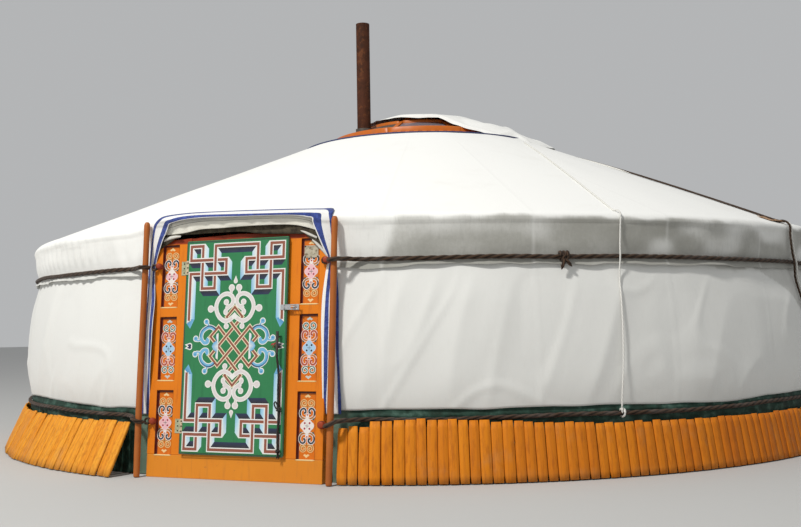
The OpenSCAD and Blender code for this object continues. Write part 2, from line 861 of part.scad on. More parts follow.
// The slotted arm that lies over the staple
module hasp_arm() {
    arm_v = hasp_pin_v - hasp_t / 2;
    color("silver")
        door_place()
            difference() {
                union() {
                    translate([hasp_pin_u, hasp_pin_v, hasp_z - hasp_h / 6 + 0.5])
                        cylinder(h = hasp_h / 3 - 1, r = hasp_pin_r, $fn = 32);
                    slab(hasp_pin_u, hasp_pin_u + hasp_pin_r + 3, hasp_z - hasp_h / 6 + 0.5,
                        hasp_z + hasp_h / 6 - 0.5, arm_v, arm_v + hasp_t);
                    slab(hasp_pin_u + hasp_pin_r + 2, hasp_pin_u + hasp_arm_l, hasp_z - hasp_h / 2,
                        hasp_z + hasp_h / 2, arm_v, arm_v + hasp_t);
                }
                slab(staple_u - slot_l / 2, staple_u + slot_l / 2, hasp_z - slot_h / 2,
                    hasp_z + slot_h / 2, arm_v - 1, arm_v + hasp_t + 1);
            }
}

// A wire staple on a foot plate, long enough to reach through the arm's slot
module hasp_staple() {
    reach = -hasp_pin_v + 14;
    color("silver")
        door_place()
            union() {
                slab(staple_u - slot_l / 2, staple_u + slot_l / 2, hasp_z - hasp_h / 2,
                    hasp_z + hasp_h / 2, -hasp_t, 0);
                for (side = [-1, 1])
                    translate([staple_u + side * staple_span / 2, 0, hasp_z])
                        rotate([90, 0, 0])
                            cylinder(h = reach, r = staple_r, $fn = rod_fn);
                translate([staple_u - staple_span / 2 - staple_r, -reach, hasp_z])
                    rotate([0, 90, 0])
                        cylinder(h = staple_span + 2 * staple_r, r = staple_r, $fn = rod_fn);
            }
}

// The lining that hangs over the lintel inside the striped border, under the felt's edge
module door_hood() {
    head_z = felt_top(wall_r) - roof_felt_t - 2 * layer_gap;
    color("beige")
        sector(-gap_angle, gap_angle)
            band([[wall_r - layer_gap, head_z], [wall_r - layer_gap - 4, head_z - hood_h]],
                [-canvas_t, 0]);
}

// The blue and white border of the doorway, up both sides and across the top
module doorway_trim() {
    from = asin((frame_w / 2 + 3) / drape_belt_r);
    to = from + 2 * asin(trim_w / 2 / wall_r);
    lift = layer_gap + trim_t;
    z0 = canvas_top(eave_r);
    side_line = concat(
        [for (z = profile_z) if (z < upper_belt_z) [canvas_r(z) + lift, z]],
        [for (drop = [10, 0]) drape_line[3] + [lift, -drop]],
        [for (i = [2:-1:0]) drape_line[i] + [lift, 0]],
        [[shoulder_r + lift, z0 - trim_w]]);
    color("royalblue")
        union() {
            for (start = [-to, from])
                sector(start, start + to - from)
                    band(side_line, [-trim_t, 0]);
            sector(-to, to)
                band([[eave_r - 20, canvas_top(eave_r - 20) + lift], [eave_r + 44, z0 + 2],
                    [shoulder_r + lift - 6, z0 - 8], [shoulder_r + lift, z0 - 38],
                    [shoulder_r + lift, z0 - trim_w]], [-trim_t, -trim_t]);
        }
}

module door_pole(x) {
    color("peru")
        rod([x, -door_pole_y, 0], [x, -pole_top_y(x), door_pole_h], door_pole_r);
}

// Four turned pegs in the frame's edges that the belt ropes are tied to
module rope_pegs() {
    color("brown")
        door_place()
            for (side = [-1, 1], w = [lower_belt_z - 28, upper_belt_z])
                translate([side * peg_u, 0, w])
                    rotate([90, 0, 0])
                        cylinder(h = peg_out, r = peg_r, $fn = rod_fn);
}

// Point on the roof or wall at an angle, a radius and a height
function around(angle, r, z) = [r * sin(angle), -r * cos(angle), z];

// Route of a rope's end from a peg over the door pole at x
function belt_end(x, z) =
    let (
        past_pole = door_pole_r + belt_r + 4,
        front_y = pole_at(x, z) + past_pole,
        out = past_pole * sign(x)
    )
    [[x - out, -front_y + belt_r, z], [x, -front_y, z], [x + out, -front_y + belt_r / 2, z]];

// Route of a rope from one peg, over a door pole, round the wall and back to the other peg
function belt_route(z, r) =
    let (
        left = belt_end(-left_pole_x, z),
        step = (360 - 2 * rope_end_angle) / belt_steps
    )
    concat(belt_end(right_pole_x, z),
        [for (i = [0:belt_steps]) around(rope_end_angle + i * step, r + belt_r + chord_room, z)],
        [for (i = [2:-1:0]) left[i]]);

module belt_rope(z, r) {
    color("saddlebrown")
        rope(belt_route(z, r), belt_r, [0, 0, 1]);
}

// Route of a rope from the flap straight down the roof, over the eave and down the wall
function roof_route(head_angle, eave_angle, foot_angle) =
    let (
        lift = roof_rope_r + 8,
        head = around(head_angle, flap_r + 20, 0),
        eave = around(eave_angle, eave_r, 0),
        foot_z = lower_belt_z + belt_r + 13,
        mid_z = belly_z + 60,
        mid_angle = foot_angle + (eave_angle - foot_angle) * (mid_z - foot_z) / (canvas_top(eave_r) - foot_z)
    )
    concat(
        [for (i = [0:roof_rope_steps])
            let (p = head + (eave - head) * i / roof_rope_steps)
            [p[0], p[1], canvas_top(norm(p)) + lift]],
        [around(eave_angle, shoulder_r - 18, canvas_top(eave_r) + lift),
            around(eave_angle, shoulder_r + lift + 6, canvas_top(eave_r) - 8),
            around(eave_angle, shoulder_r + belt_r + lift + 14, canvas_top(eave_r) - 40),
            around(mid_angle, canvas_r(belly_z) + lift + 6, mid_z),
            around(foot_angle, canvas_r(hem_z) + lift + 6, foot_z)]);

module roof_rope(head_angle, eave_angle, foot_angle) {
    rope(roof_route(head_angle, eave_angle, foot_angle), roof_rope_r,
        [cos(eave_angle), sin(eave_angle), 0]);
}

module roof_rope_dark() {
    color("saddlebrown") {
        roof_rope(98, dark_feet[0], 74.8);
        roof_rope(240, dark_feet[1], 246.6);
    }
}

module roof_rope_white() {
    color("whitesmoke") {
        roof_rope(66, 41, 43);
        roof_rope(178, 184, 185.3);
    }
}

// A folded pad under each dark rope at the eave
module eave_pad() {
    lift = layer_gap + pad_t;
    inner_r = eave_r - pad_l;
    color("tan")
        for (a = dark_feet)
            sector(a - pad_half_angle, a + pad_half_angle)
                band([[inner_r, canvas_top(inner_r) + lift], [eave_r, canvas_top(eave_r) + lift],
                    [eave_r + 44, canvas_top(eave_r) - 4]], [0, -pad_t]);
}

lattice_wall(1);  // lattice_wall_1
lattice_wall(2);  // lattice_wall_2
lattice_wall(3);  // lattice_wall_3
lattice_wall(4);  // lattice_wall_4
lattice_wall(5);  // lattice_wall_5
lattice_wall(6);  // lattice_wall_6
wall_felt(180, 360 - gap_angle);  // wall_felt_left
wall_felt(gap_angle, 180);  // wall_felt_right
wall_canvas(180 + panel_gap_angle, 360 - gap_angle);  // wall_canvas_left
wall_canvas(gap_angle, 180 - panel_gap_angle);  // wall_canvas_right
roof_poles(-45);  // roof_poles_front
roof_poles(45);  // roof_poles_right
roof_poles(135);  // roof_poles_back
roof_poles(225);  // roof_poles_left
roof_felt(-90, 90);  // roof_felt_front
roof_felt(90, 270);  // roof_felt_back
roof_canvas();
eave_drape();
crown_ring();
crown_upper_ring();
crown_spokes();
crown_panes();
crown_posts();
post_boards();
smoke_flap();
stovepipe();
pipe_plate();
skirt_tarp();
skirt_planks(-left_run_end, -left_start, left_splay, 5);  // skirt_planks_left
skirt_planks(plank_start, 180, plank_splay, 12);  // skirt_planks_right
skirt_planks(180, 360 - left_run_end, plank_splay, 8);  // skirt_planks_back
door_threshold();
door_side(-1);  // door_frame_left
door_side(1);  // door_frame_right
door_lintel();
frame_panels();
number_plate();
door_leaf();
hinge_plates_fixed();
hinge_plates_moving();
door_handle();
pull_rope();
hasp_plate();
hasp_arm();
hasp_staple();
door_hood();
doorway_trim();
door_pole(-left_pole_x);  // door_pole_left
door_pole(right_pole_x);  // door_pole_right
rope_pegs();
belt_rope(upper_belt_z, drape_belt_r + layer_gap);  // belt_rope_upper
belt_rope(lower_belt_z, hem_tuck_r + layer_gap);  // belt_rope_lower
roof_rope_dark();
roof_rope_white();
eave_pad();
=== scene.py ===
# %% [markdown]
# # A felt tent, dressed
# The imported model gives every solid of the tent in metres. This lesson builds the looks around it:
# cloth that hangs and creases, twisted ropes, weathered planks, a painted door. A piece goes where
# the solid it stands for is, so nothing has to be fitted by eye.

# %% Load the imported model
import math

import bpy
import numpy as np
from mathutils import Matrix, Vector


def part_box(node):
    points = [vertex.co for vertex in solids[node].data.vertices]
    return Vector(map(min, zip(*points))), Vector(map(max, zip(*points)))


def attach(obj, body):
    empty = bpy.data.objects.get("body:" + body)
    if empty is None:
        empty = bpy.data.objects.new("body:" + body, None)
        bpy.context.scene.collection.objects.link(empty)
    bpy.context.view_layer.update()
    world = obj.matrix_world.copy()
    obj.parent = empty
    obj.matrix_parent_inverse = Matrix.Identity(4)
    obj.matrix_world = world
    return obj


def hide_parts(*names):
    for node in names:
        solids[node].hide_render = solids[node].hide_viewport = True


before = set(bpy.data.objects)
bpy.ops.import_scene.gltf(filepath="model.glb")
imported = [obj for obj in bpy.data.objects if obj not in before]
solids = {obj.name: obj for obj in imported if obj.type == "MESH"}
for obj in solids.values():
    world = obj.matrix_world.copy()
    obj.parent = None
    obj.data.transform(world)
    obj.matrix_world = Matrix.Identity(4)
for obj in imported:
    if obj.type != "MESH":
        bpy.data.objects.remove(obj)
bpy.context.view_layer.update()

# %% [markdown]
# ## The camera
# The camera stands low in front of the tent and a little to the right, as a visitor would. Its place
# was found by lining up the door frame and the ropes with the photograph, so it is given as numbers:
# a place, a heading, a slight upward tilt and a slight roll.

# %% Camera
def make_camera(place, heading, pitch, roll, lens):
    """A camera that looks along a heading, tilted up and rolled."""
    data = bpy.data.cameras.new("camera")
    data.lens = lens
    data.sensor_width = 36.0
    data.clip_end = 200.0
    camera = bpy.data.objects.new("camera", data)
    ahead = Vector((-math.sin(heading), math.cos(heading), 0.0))
    forward = ahead * math.cos(pitch) + Vector((0.0, 0.0, math.sin(pitch)))
    level = Vector((math.cos(heading), math.sin(heading), 0.0))
    upward = level.cross(forward)
    right = level * math.cos(roll) + upward * math.sin(roll)
    up = upward * math.cos(roll) - level * math.sin(roll)
    axes = Matrix((right, up, -forward)).transposed().to_4x4()
    camera.matrix_world = Matrix.Translation(place) @ axes
    bpy.context.scene.collection.objects.link(camera)
    bpy.context.scene.camera = camera
    return camera


camera = make_camera((3.416, -9.185, 0.958), heading=0.3785, pitch=0.0607, roll=-0.0168, lens=45.75)
print("camera at", tuple(camera.location))

# %% [markdown]
# ## Places on the tent
# Two kinds of place are used all the time: a point at an angle round the tent, counted from the door
# towards the viewer's right, and a point on the leaning door. One small function gives each.

# %% Places
WALL_R, EAVE_R = 3.478, 3.440
EAVE_TOP = 1.676
ROOF_SLOPE = math.tan(math.radians(22))
BELLY_Z, HEM_Z = 0.670, 0.440
UPPER_BELT_Z, LOWER_BELT_Z = 1.375, 0.387
UPPER_ROPE_R, LOWER_ROPE_R = 3.5045, 3.556
TARP_R, SKIRT_R = 3.5335, 3.576
DOOR_GAP = 10.97
LATTICE_FOOT_R, LATTICE_LEAN, POLE_COUNT = 3.4900, math.tan(math.radians(2.5)), 72
DOOR_LEAN, DOOR_Y = math.radians(4.75), 3.557


def ease(x, low, high):
    """0 below low, 1 above high and a soft step between."""
    t = np.clip((np.asarray(x, float) - low) / (high - low), 0, 1)
    return t * t * (3 - 2 * t)


def turned(angle, r, z):
    """The point at an angle in degrees from the door, a radius and a height."""
    a = math.radians(angle)
    return Vector((r * math.sin(a), -r * math.cos(a), z))


def on_door(u, v, w):
    """The point across, behind and up along the leaning face of the door frame."""
    c, s = math.cos(DOOR_LEAN), math.sin(DOOR_LEAN)
    return Vector((u, -DOOR_Y + v * c + w * s, -v * s + w * c))


def round_tent(angle, r, z):
    """Points of a sheet from arrays of angles in degrees, radii and heights."""
    a = np.radians(angle)
    return np.stack([r * np.sin(a), -r * np.cos(a), z + 0 * a], -1)


def roof_top(r):
    """Height of the roof's canvas at a radius."""
    return EAVE_TOP + (EAVE_R - r) * ROOF_SLOPE


def wall_out(z):
    """Outer radius of the wall's canvas, which bulges above the ground."""
    z = np.asarray(z, float)
    low = 3.566 - 0.021 * ((BELLY_Z - z) / 0.230) ** 2
    high = WALL_R + 0.088 * (1 - ((z - BELLY_Z) / 0.705) ** 2)
    return np.where(z < BELLY_Z, low, np.where(z < UPPER_BELT_Z, high, WALL_R))


def lip_lift(angle):
    """How far the roof sheet's edge is lifted over the doorway."""
    return np.interp(np.asarray(angle, float), (-14.5, -12.5, -10.5, -8, 0, 6, 10, 12, 14.5),
                     (0, 0.022, 0.050, 0.050, 0.038, 0.034, 0.024, 0.012, 0))


def sheet_out(z, angle):
    """Outer radius of the cloth round the doorway: wall, skirt, rounded eave and roof."""
    z = np.asarray(z, float)
    level = z - lip_lift(angle) * ease(z, 1.50, 1.66)
    skirt = np.interp(level, *zip((1.325, 3.499), (1.350, 3.4925), (1.375, 3.4885), (1.400, 3.4905),
                                  (1.440, 3.4955), (1.590, 3.505), (1.605, 3.5135), (1.625, 3.512),
                                  (1.642, 3.505), (1.655, 3.492), (1.6645, 3.474), (1.6715, 3.452),
                                  (1.680, 3.430), (2.680, 0.958)))
    return np.where(z < 1.325, wall_out(z) + 0.004, skirt)


print("roof at the crown:", round(roof_top(0.96), 3), "belly:", float(wall_out(BELLY_Z)))

# %% [markdown]
# ## Sending a point out along its ray
# The camera stands where the photograph was taken, so the place of an edge in the picture is enough
# to find it on the tent. A ray leaves the camera through that place and walks on until it is under
# the cloth, and ten halvings of the last step find the surface. The doorway's border is laid this way.

# %% Rays
PICTURE_WIDTH, PICTURE_MIDDLE = 801, (400.5, 263.5)


def cast(places, out=0.005, surface=sheet_out):
    """Points on the cloth, seen at places in the picture given in its own dots."""
    places = np.asarray(places, float)
    scale = camera.data.lens / camera.data.sensor_width * PICTURE_WIDTH
    x, y = (places[:, 0] - PICTURE_MIDDLE[0]) / scale, (PICTURE_MIDDLE[1] - places[:, 1]) / scale
    rays = np.stack([x, y, -np.ones(len(places))], 1)
    rays = rays @ np.array(camera.matrix_world.to_3x3()).T
    eye = np.array(camera.location)

    def under(gone):
        p = eye + rays * gone[:, None]
        return np.hypot(p[:, 0], p[:, 1]) < surface(p[:, 2], np.degrees(np.arctan2(p[:, 0], -p[:, 1]))) + out

    far = np.full(len(places), np.nan)
    for gone in np.arange(4.6, 8.4, 0.01):
        here = np.full(len(places), gone)
        far = np.where(np.isnan(far) & under(here), here, far)
    far = np.where(np.isnan(far), 8.4, far)
    near = far - 0.01
    for _ in range(10):
        middle = (near + far) / 2
        hit = under(middle)
        far, near = np.where(hit, middle, far), np.where(hit, near, middle)
    return eye + rays * far[:, None]


print("the picture's middle shows", [round(float(q), 2) for q in cast([PICTURE_MIDDLE])[0]])

# %% [markdown]
# ## Meshes from points
# Most pieces here are grids of points bent in space, because cloth, rope and turned wood all are. A
# mesh made from plain point and face lists is quick and always comes out the same. Numbers that the
# materials need later, such as how far a point is along the cloth, are stored on the points.

# %% Meshes
def make_piece(name, points, faces, body="ger", replaced=(), slot=None, smooth=True, **marks):
    """A mesh piece on a body; marks are numbers or colours stored on its points for its material."""
    mesh = bpy.data.meshes.new(name)
    faces = faces.tolist() if isinstance(faces, np.ndarray) else faces
    mesh.from_pydata(np.asarray(points, float).tolist(), [], faces)
    for key, values in marks.items():
        values = np.asarray(values, np.float32)
        kind = "FLOAT" if values.ndim == 1 else "FLOAT_VECTOR" if values.shape[1] == 3 else "FLOAT_COLOR"
        mark = mesh.attributes.new(key, kind, "POINT")
        mark.data.foreach_set({"FLOAT": "value", "FLOAT_VECTOR": "vector", "FLOAT_COLOR": "color"}[kind],
                              values.ravel())
    mesh.polygons.foreach_set("use_smooth", [smooth] * len(mesh.polygons))
    mesh.update()
    obj = bpy.data.objects.new(name, mesh)
    bpy.context.scene.collection.objects.link(obj)
    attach(obj, body)
    if replaced:
        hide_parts(*replaced)
    return obj


def grid_faces(rows, columns, wrap=False, keep=None):
    """Quads of a grid; keep says which of its cells are cloth."""
    r = np.arange(rows - 1)[:, None]
    c = np.arange(columns if wrap else columns - 1)[None, :]
    n = (c + 1) % columns
    quads = np.stack([r * columns + c, r * columns + n, (r + 1) * columns + n, (r + 1) * columns + c], -1)
    return quads.reshape(-1, 4) if keep is None else quads[keep]


def tube_faces(rings, sides):
    """Quads between the rings of a tube, and a cap at each end."""
    last = (rings - 1) * sides
    return grid_faces(rings, sides, True).tolist() + [tuple(range(sides))[::-1],
            tuple(range(last, last + sides))]


def add_shell(points, faces, more_points, more_faces):
    """Adds one shell to the lists of a piece that is made of several."""
    faces += [tuple(len(points) + i for i in face) for face in more_faces]
    points += list(more_points)


def make_sheet(name, points, slot, replaced, cloth=None, faces=None, **marks):
    """A sheet from a grid of points. Its marks are grids too; cloth is the way along it and down it."""
    marks = {key: np.broadcast_to(grid, points.shape[:2]).ravel() for key, grid in marks.items()}
    if cloth:
        along, down = np.broadcast_arrays(*cloth)
        marks["cloth"] = np.stack([along, down, np.zeros(along.shape)], -1).reshape(-1, 3)
    faces = grid_faces(*points.shape[:2]) if faces is None else faces
    return make_piece(name, points.reshape(-1, 3), faces, "ger", replaced, slot, **marks)


def thicken(piece, depth):
    """Gives a sheet its thickness."""
    piece.modifiers.new("thickness", "SOLIDIFY").thickness = depth


def hills(x, y, seed, period=64):
    """Smooth random hills between -1 and 1, one unit apart, that repeat round a period in x."""
    table = np.random.default_rng(seed).uniform(-1, 1, (97, period))
    x, y = np.broadcast_arrays(np.asarray(x, float), np.asarray(y, float))
    xi, yi = np.floor(x).astype(int), np.floor(y).astype(int)
    fx, fy = x - xi, y - yi
    fx, fy = fx * fx * (3 - 2 * fx), fy * fy * (3 - 2 * fy)
    x0, x1, y0, y1 = xi % period, (xi + 1) % period, yi % 97, (yi + 1) % 97
    low = table[y0, x0] * (1 - fx) + table[y0, x1] * fx
    high = table[y1, x0] * (1 - fx) + table[y1, x1] * fx
    return low * (1 - fy) + high * fy


print("a hill:", round(float(hills(0.5, 0.5, 1)), 3))

# %% [markdown]
# ## Twisted rope
# A rope is three strands laid round each other. Making three separate tubes costs three times the
# faces, and at arm's length nobody can tell, so one tube is made whose cross-section has three
# lobes, and the lobes turn as the tube goes along. The line it follows is first smoothed and cut
# into even steps.

# %% Smooth lines
def through(a, b, c, d, t):
    """A Catmull-Rom curve from b to c, led by the points before and after them."""
    return 0.5 * (2 * b + (c - a) * t + (2 * a - 5 * b + 4 * c - d) * t * t + (3 * b - a - 3 * c + d) * t ** 3)


def spaced(line, step):
    """The same line in even steps, rounded at its corners by a Catmull-Rom curve."""
    p = [Vector(q) for q in line]
    p = [2 * p[0] - p[1]] + p + [2 * p[-1] - p[-2]]
    fine = []
    for a, b, c, d in zip(p, p[1:], p[2:], p[3:]):
        count = max(2, int((c - b).length / (step * 0.5)))
        for i in range(count):
            fine.append(through(a, b, c, d, i / count))
    fine.append(p[-2])
    fine = np.array(fine)
    gone = np.concatenate([[0], np.cumsum(np.linalg.norm(np.diff(fine, axis=0), axis=1))])
    even = np.linspace(0, gone[-1], max(2, int(round(gone[-1] / step)) + 1))
    return np.stack([np.interp(even, gone, fine[:, k]) for k in range(3)], 1), even


def rope_shell(line, r, lay, step, sides=12, strands=3, depth=0.2, wild=0.0, seed=1, taper=0.0):
    """Points and faces of a twisted rope, and how high on a strand each point is."""
    path, gone = spaced(line, step)
    tangent = np.gradient(path, axis=0)
    tangent /= np.linalg.norm(tangent, axis=1)[:, None]
    side = np.cross(tangent, [0.0, 0.0, 1.0])
    flat = np.linalg.norm(side, axis=1) < 0.05
    side[flat] = np.cross(tangent[flat], [1.0, 0.0, 0.0])
    side /= np.linalg.norm(side, axis=1)[:, None]
    for i in range(1, len(side)):
        if side[i] @ side[i - 1] < 0:
            side[i] = -side[i]
    up = np.cross(side, tangent)
    around = np.linspace(0, 2 * np.pi, sides, endpoint=False)[None, :]
    twist = (2 * np.pi * gone / lay)[:, None]
    lobe = np.abs(np.sin(strands * (around - twist / strands) / 2))
    width = r * (1 - depth + depth * lobe) * (1 + wild * hills(gone[:, None] / (2.5 * r), around, seed))
    if taper:
        width = width * (0.25 + 0.75 * np.minimum(1, np.minimum(gone, gone[-1] - gone)[:, None] / taper))
    ways = np.cos(around)[..., None] * side[:, None] + np.sin(around)[..., None] * up[:, None]
    shell = path[:, None] + width[..., None] * ways
    return shell.reshape(-1, 3), tube_faces(len(path), sides), lobe.ravel()


def make_rope(name, shells, slot, body="ger", replaced=()):
    """A piece of one or more twisted ropes."""
    points, faces, lobe = [], [], np.concatenate([shell[2] for shell in shells])
    for more_points, more_faces, _ in shells:
        add_shell(points, faces, more_points, more_faces)
    obj = make_piece(name, points, faces, body, replaced, slot, lobe=lobe)
    print(name, len(faces), "faces")
    return obj


# %% [markdown]
# ## The pull rope
# A braided cord hangs from the door's stick handle to the foot of the leaf, with a loop knotted into
# it half way down. It is the only loose cord of the tent, and its whole length shows in the photograph,
# about 0.63 m. The route is the solid's own route.

# %% Pull rope
pull_route = [(334, -3549, 804), (334, -3550, 788), (335, -3550, 769), (338, -3550, 745), (342, -3551, 715),
              (345, -3551, 685), (346, -3551, 655), (345, -3551, 625), (343, -3551, 595), (342, -3551, 565),
              (342, -3552, 535), (343, -3554, 505), (345, -3556, 475), (347, -3558, 445), (348, -3561, 415),
              (348, -3563, 385), (347, -3565, 355), (346, -3568, 325), (345, -3570, 295), (345, -3573, 265),
              (346, -3575, 235), (348, -3578, 205), (350, -3581, 175)]
pull_line = [Vector(p) / 1000 for p in pull_route]


def ring_line(centre, across, upward, r, turns=1.0, pitch=Vector(), start=0.0, count=20):
    """A round or wound line in the plane of two directions."""
    line = []
    for i in range(int(count * turns) + 1):
        a = start + 2 * math.pi * i / count
        line.append(centre + across * (r * math.cos(a)) + upward * (r * math.sin(a)) + pitch * (i / count))
    return line


X, Y, Z = Vector((1, 0, 0)), Vector((0, 1, 0)), Vector((0, 0, 1))
pull_rope = make_rope("pull_rope_braid",
                      [rope_shell(pull_line, 0.0078, 0.030, 0.003, sides=16, strands=4, depth=0.22,
                                  wild=0.05)], "rope_dark", "door", ["pull_rope"])
knot_at = pull_line[13]
loop_steps = ((-0.004, -0.010, 0.004), (-0.018, -0.010, 0.020), (-0.026, -0.008, 0.040),
              (-0.016, -0.009, 0.052), (-0.004, -0.011, 0.036), (0.004, -0.011, 0.010))
knot_turns = ring_line(knot_at - Z * 0.008, X, Y, 0.0115, 2.2, Z * 0.011)
knot_shells = [rope_shell(knot_turns, 0.0058, 0.02, 0.003, sides=10, taper=0.01),
               rope_shell([knot_at + Vector(step) for step in loop_steps], 0.0050, 0.02, 0.003, sides=10,
                          taper=0.01)]
pull_knot = make_rope("pull_rope_knot", knot_shells, "rope_dark", "door")
end_at = pull_line[-1]
end_turns = ring_line(end_at + Z * 0.012, X, Y, 0.0105, 1.6, Z * 0.010)
tail_shells = [rope_shell(end_turns, 0.0060, 0.02, 0.003, sides=10, taper=0.01)]
for k in range(9):
    a = 2 * math.pi * k / 9
    out = Vector((math.cos(a), math.sin(a), 0))
    tail_shells.append(rope_shell([end_at + out * 0.003 + Z * 0.004, end_at + out * 0.006 - Z * 0.010,
                                   end_at + out * 0.009 - Z * (0.022 + 0.004 * (k % 3))], 0.0017, 0.01,
                                  0.004, sides=5, taper=0.004))
pull_tail = make_rope("pull_rope_tail", tail_shells, "rope_dark", "door")

# %% [markdown]
# ## Shader maths in plain Python
# A finish is a small graph of nodes. Wiring sums node by node hides what they say, so one class wraps
# a socket and lets Python's own signs add the Math nodes. Every other node comes from one method
# that takes its type, its settings and what goes into its sockets.

# %% Shader helpers
class Value:
    """A socket of a material's nodes, for sums in plain Python."""

    def __init__(self, finish, socket):
        self.finish, self.socket = finish, socket

    def maths(self, operation, *others):
        return self.finish.node("ShaderNodeMath", {"operation": operation}, dict(enumerate((self,) + others)))

    def __add__(self, other):
        return self.maths("ADD", other)

    __radd__ = __add__

    def __mul__(self, other):
        return self.maths("MULTIPLY", other)

    __rmul__ = __mul__

    def __sub__(self, other):
        return self.maths("SUBTRACT", other)

    def __rsub__(self, other):
        return self.finish.node("ShaderNodeMath", {"operation": "SUBTRACT"}, {0: other, 1: self})

    def step(self, low, high):
        """0 below low, 1 above high and a soft step between."""
        return self.finish.node("ShaderNodeMapRange", {"interpolation_type": "SMOOTHSTEP"},
                                {"Value": self, "From Min": low, "From Max": high})


class Finish:
    """A material in the making. Numbers in fixed go straight to the shader's own sockets."""

    def __init__(self, name, colour=(0.8, 0.8, 0.8), **fixed):
        self.material = bpy.data.materials.new(name)
        self.material.use_nodes = True
        self.tree = self.material.node_tree
        self.shader = self.tree.nodes["Principled BSDF"]
        self.set("Base Color", colour)
        for key, value in fixed.items():
            self.set(key.replace("_", " ").title().replace("Ior", "IOR"), value)

    def put(self, socket, value):
        if isinstance(value, Value):
            self.tree.links.new(value.socket, socket)
        elif isinstance(value, (tuple, list)) and len(value) == 3 and socket.type == "RGBA":
            socket.default_value = (*value, 1.0)
        else:
            socket.default_value = value

    def set(self, key, value):
        self.put(self.shader.inputs[key], value)
        return self

    def node(self, kind, settings=None, inputs=None, out=0):
        made = self.tree.nodes.new(kind)
        for key, value in (settings or {}).items():
            if key == "stops":
                while len(made.color_ramp.elements) < len(value):
                    made.color_ramp.elements.new(0.5)
                for element, (place, colour) in zip(made.color_ramp.elements, value):
                    element.position = place
                    element.color = (*colour, 1.0)
            else:
                setattr(made, key, value)
        for key, value in (inputs or {}).items():
            self.put(made.inputs[key], value)
        return Value(self, made.outputs[out])

    def place(self, stretch=(1, 1, 1), mark=None):
        """Where a point is on the piece, stretched to suit the grain."""
        if mark:
            where = self.node("ShaderNodeAttribute", {"attribute_name": mark}, out="Vector")
        else:
            where = self.node("ShaderNodeTexCoord", out="Object")
        return self.node("ShaderNodeMapping", None, {"Vector": where, "Scale": stretch})

    def height(self):
        """How high above the ground a point is."""
        return self.node("ShaderNodeSeparateXYZ", None, {"Vector": self.place()}, out="Z")

    def noise(self, scale, detail=3.0, rough=0.55, stretch=(1, 1, 1), mark=None, warp=0.0):
        return self.node("ShaderNodeTexNoise", None, {"Vector": self.place(stretch, mark), "Scale": scale,
                "Detail": detail, "Roughness": rough, "Distortion": warp})

    def waves(self, scale, direction="X", stretch=(1, 1, 1), mark=None, warp=0.0):
        return self.node("ShaderNodeTexWave", {"bands_direction": direction},
                         {"Vector": self.place(stretch, mark), "Scale": scale, "Distortion": warp})

    def mark(self, name):
        return self.node("ShaderNodeAttribute", {"attribute_name": name}, out="Fac")

    def mix(self, share, first, second):
        return self.node("ShaderNodeMix", {"data_type": "RGBA"},
                         {0: share, 6: first, 7: second}, out=2)

    def ramp(self, share, *stops):
        return self.node("ShaderNodeValToRGB", {"stops": stops}, {"Fac": share})

    def bump(self, height, strength=0.5, distance=0.002):
        self.set("Normal",
                 self.node("ShaderNodeBump", None,
                           {"Height": height, "Strength": strength, "Distance": distance}))
        return self

    def on(self, *pieces):
        """Gives the finish to pieces, or to solids by their names, in place of what they had."""
        for piece in pieces:
            piece = solids[piece] if isinstance(piece, str) else piece
            piece.data.materials.clear()
            piece.data.materials.append(self.material)
        return self


print("shader helpers ready")

# %% [markdown]
# ## Finishes for cloth
# The roof and wall wear white cotton canvas. Close by it shows its threads, from further away soft dirt,
# a greyer tone where rain has run, and grey painted shade where its points are marked for it. The threads
# follow the cloth and not the room, so they use the distances stored on the points: metres along the
# cloth and metres up.

# %% Canvas
def canvas(name, clean, soiled_and_shaded, roughness=0.9):
    f = Finish(name, roughness=roughness, sheen_weight=0.15, sheen_roughness=0.6)
    # One mark on the points gives soil and painted shade: soil low on the wall, and grey painted shade on the
    # roof's hanging skirt, under the belt and where the eave shades the wall
    soil = f.mark("soil")
    stain = f.noise(2.6, 5, 0.62, (1, 1, 0.7))
    speck = f.noise(38, 4, 0.7)
    share = (soil * 1.0 + (stain - 0.5) * 0.9 * soil + (speck - 0.5) * 0.25 * soil).step(0.0, 1.0)
    colour = f.mix(share, clean, soiled_and_shaded)
    colour = f.mix((stain.step(0.55, 0.85)) * 0.16, colour, (0.62, 0.59, 0.52))
    streak = f.noise(9, 5, 0.65, (6, 1, 1), "cloth")
    colour = f.mix((streak - 0.5).step(0.0, 0.22) * soil * 0.45, colour, soiled_and_shaded)
    stitch = f.mark("seam")
    colour = f.mix(stitch * 0.30, colour, (0.80, 0.80, 0.77))
    threads = f.waves(330, "X", mark="cloth") * 0.5 + f.waves(330, "Y", mark="cloth") * 0.5
    crease = f.noise(9, 4, 0.6, warp=0.6)
    f.set("Base Color", colour).set("Roughness", 0.82 + speck * 0.12)
    f.bump(threads * 0.12 + crease * 1.0 + speck * 0.25, 0.35, 0.004)
    return f


roof_canvas = canvas("roof_canvas", (0.90, 0.90, 0.87), (0.33, 0.325, 0.29))
wall_canvas = canvas("wall_canvas", (0.78, 0.78, 0.75), (0.46, 0.455, 0.42))


def pressed_felt():
    f = Finish("pressed_felt", roughness=0.95, sheen_weight=0.3, sheen_roughness=0.7)
    clump = f.noise(24, 6, 0.7)
    fibre = f.noise(160, 3, 0.8, (1, 1, 0.3))
    f.set("Base Color", f.ramp(clump, (0.25, (0.52, 0.48, 0.41)), (0.75, (0.76, 0.73, 0.66))))
    return f.bump(clump + fibre * 0.5, 0.6, 0.004)


def mottled(name, roughness, patch, dark, light, grain, strength=0.4, distance=0.001, **fixed):
    """A plain finish: patches of two colours and a fine bump. Patch and grain are settings for noise."""
    f = Finish(name, roughness=roughness, **fixed)
    f.set("Base Color", f.mix(f.noise(*patch), dark, light))
    return f.bump(f.noise(*grain), strength, distance)


felt = pressed_felt()
print("cloth finishes ready")

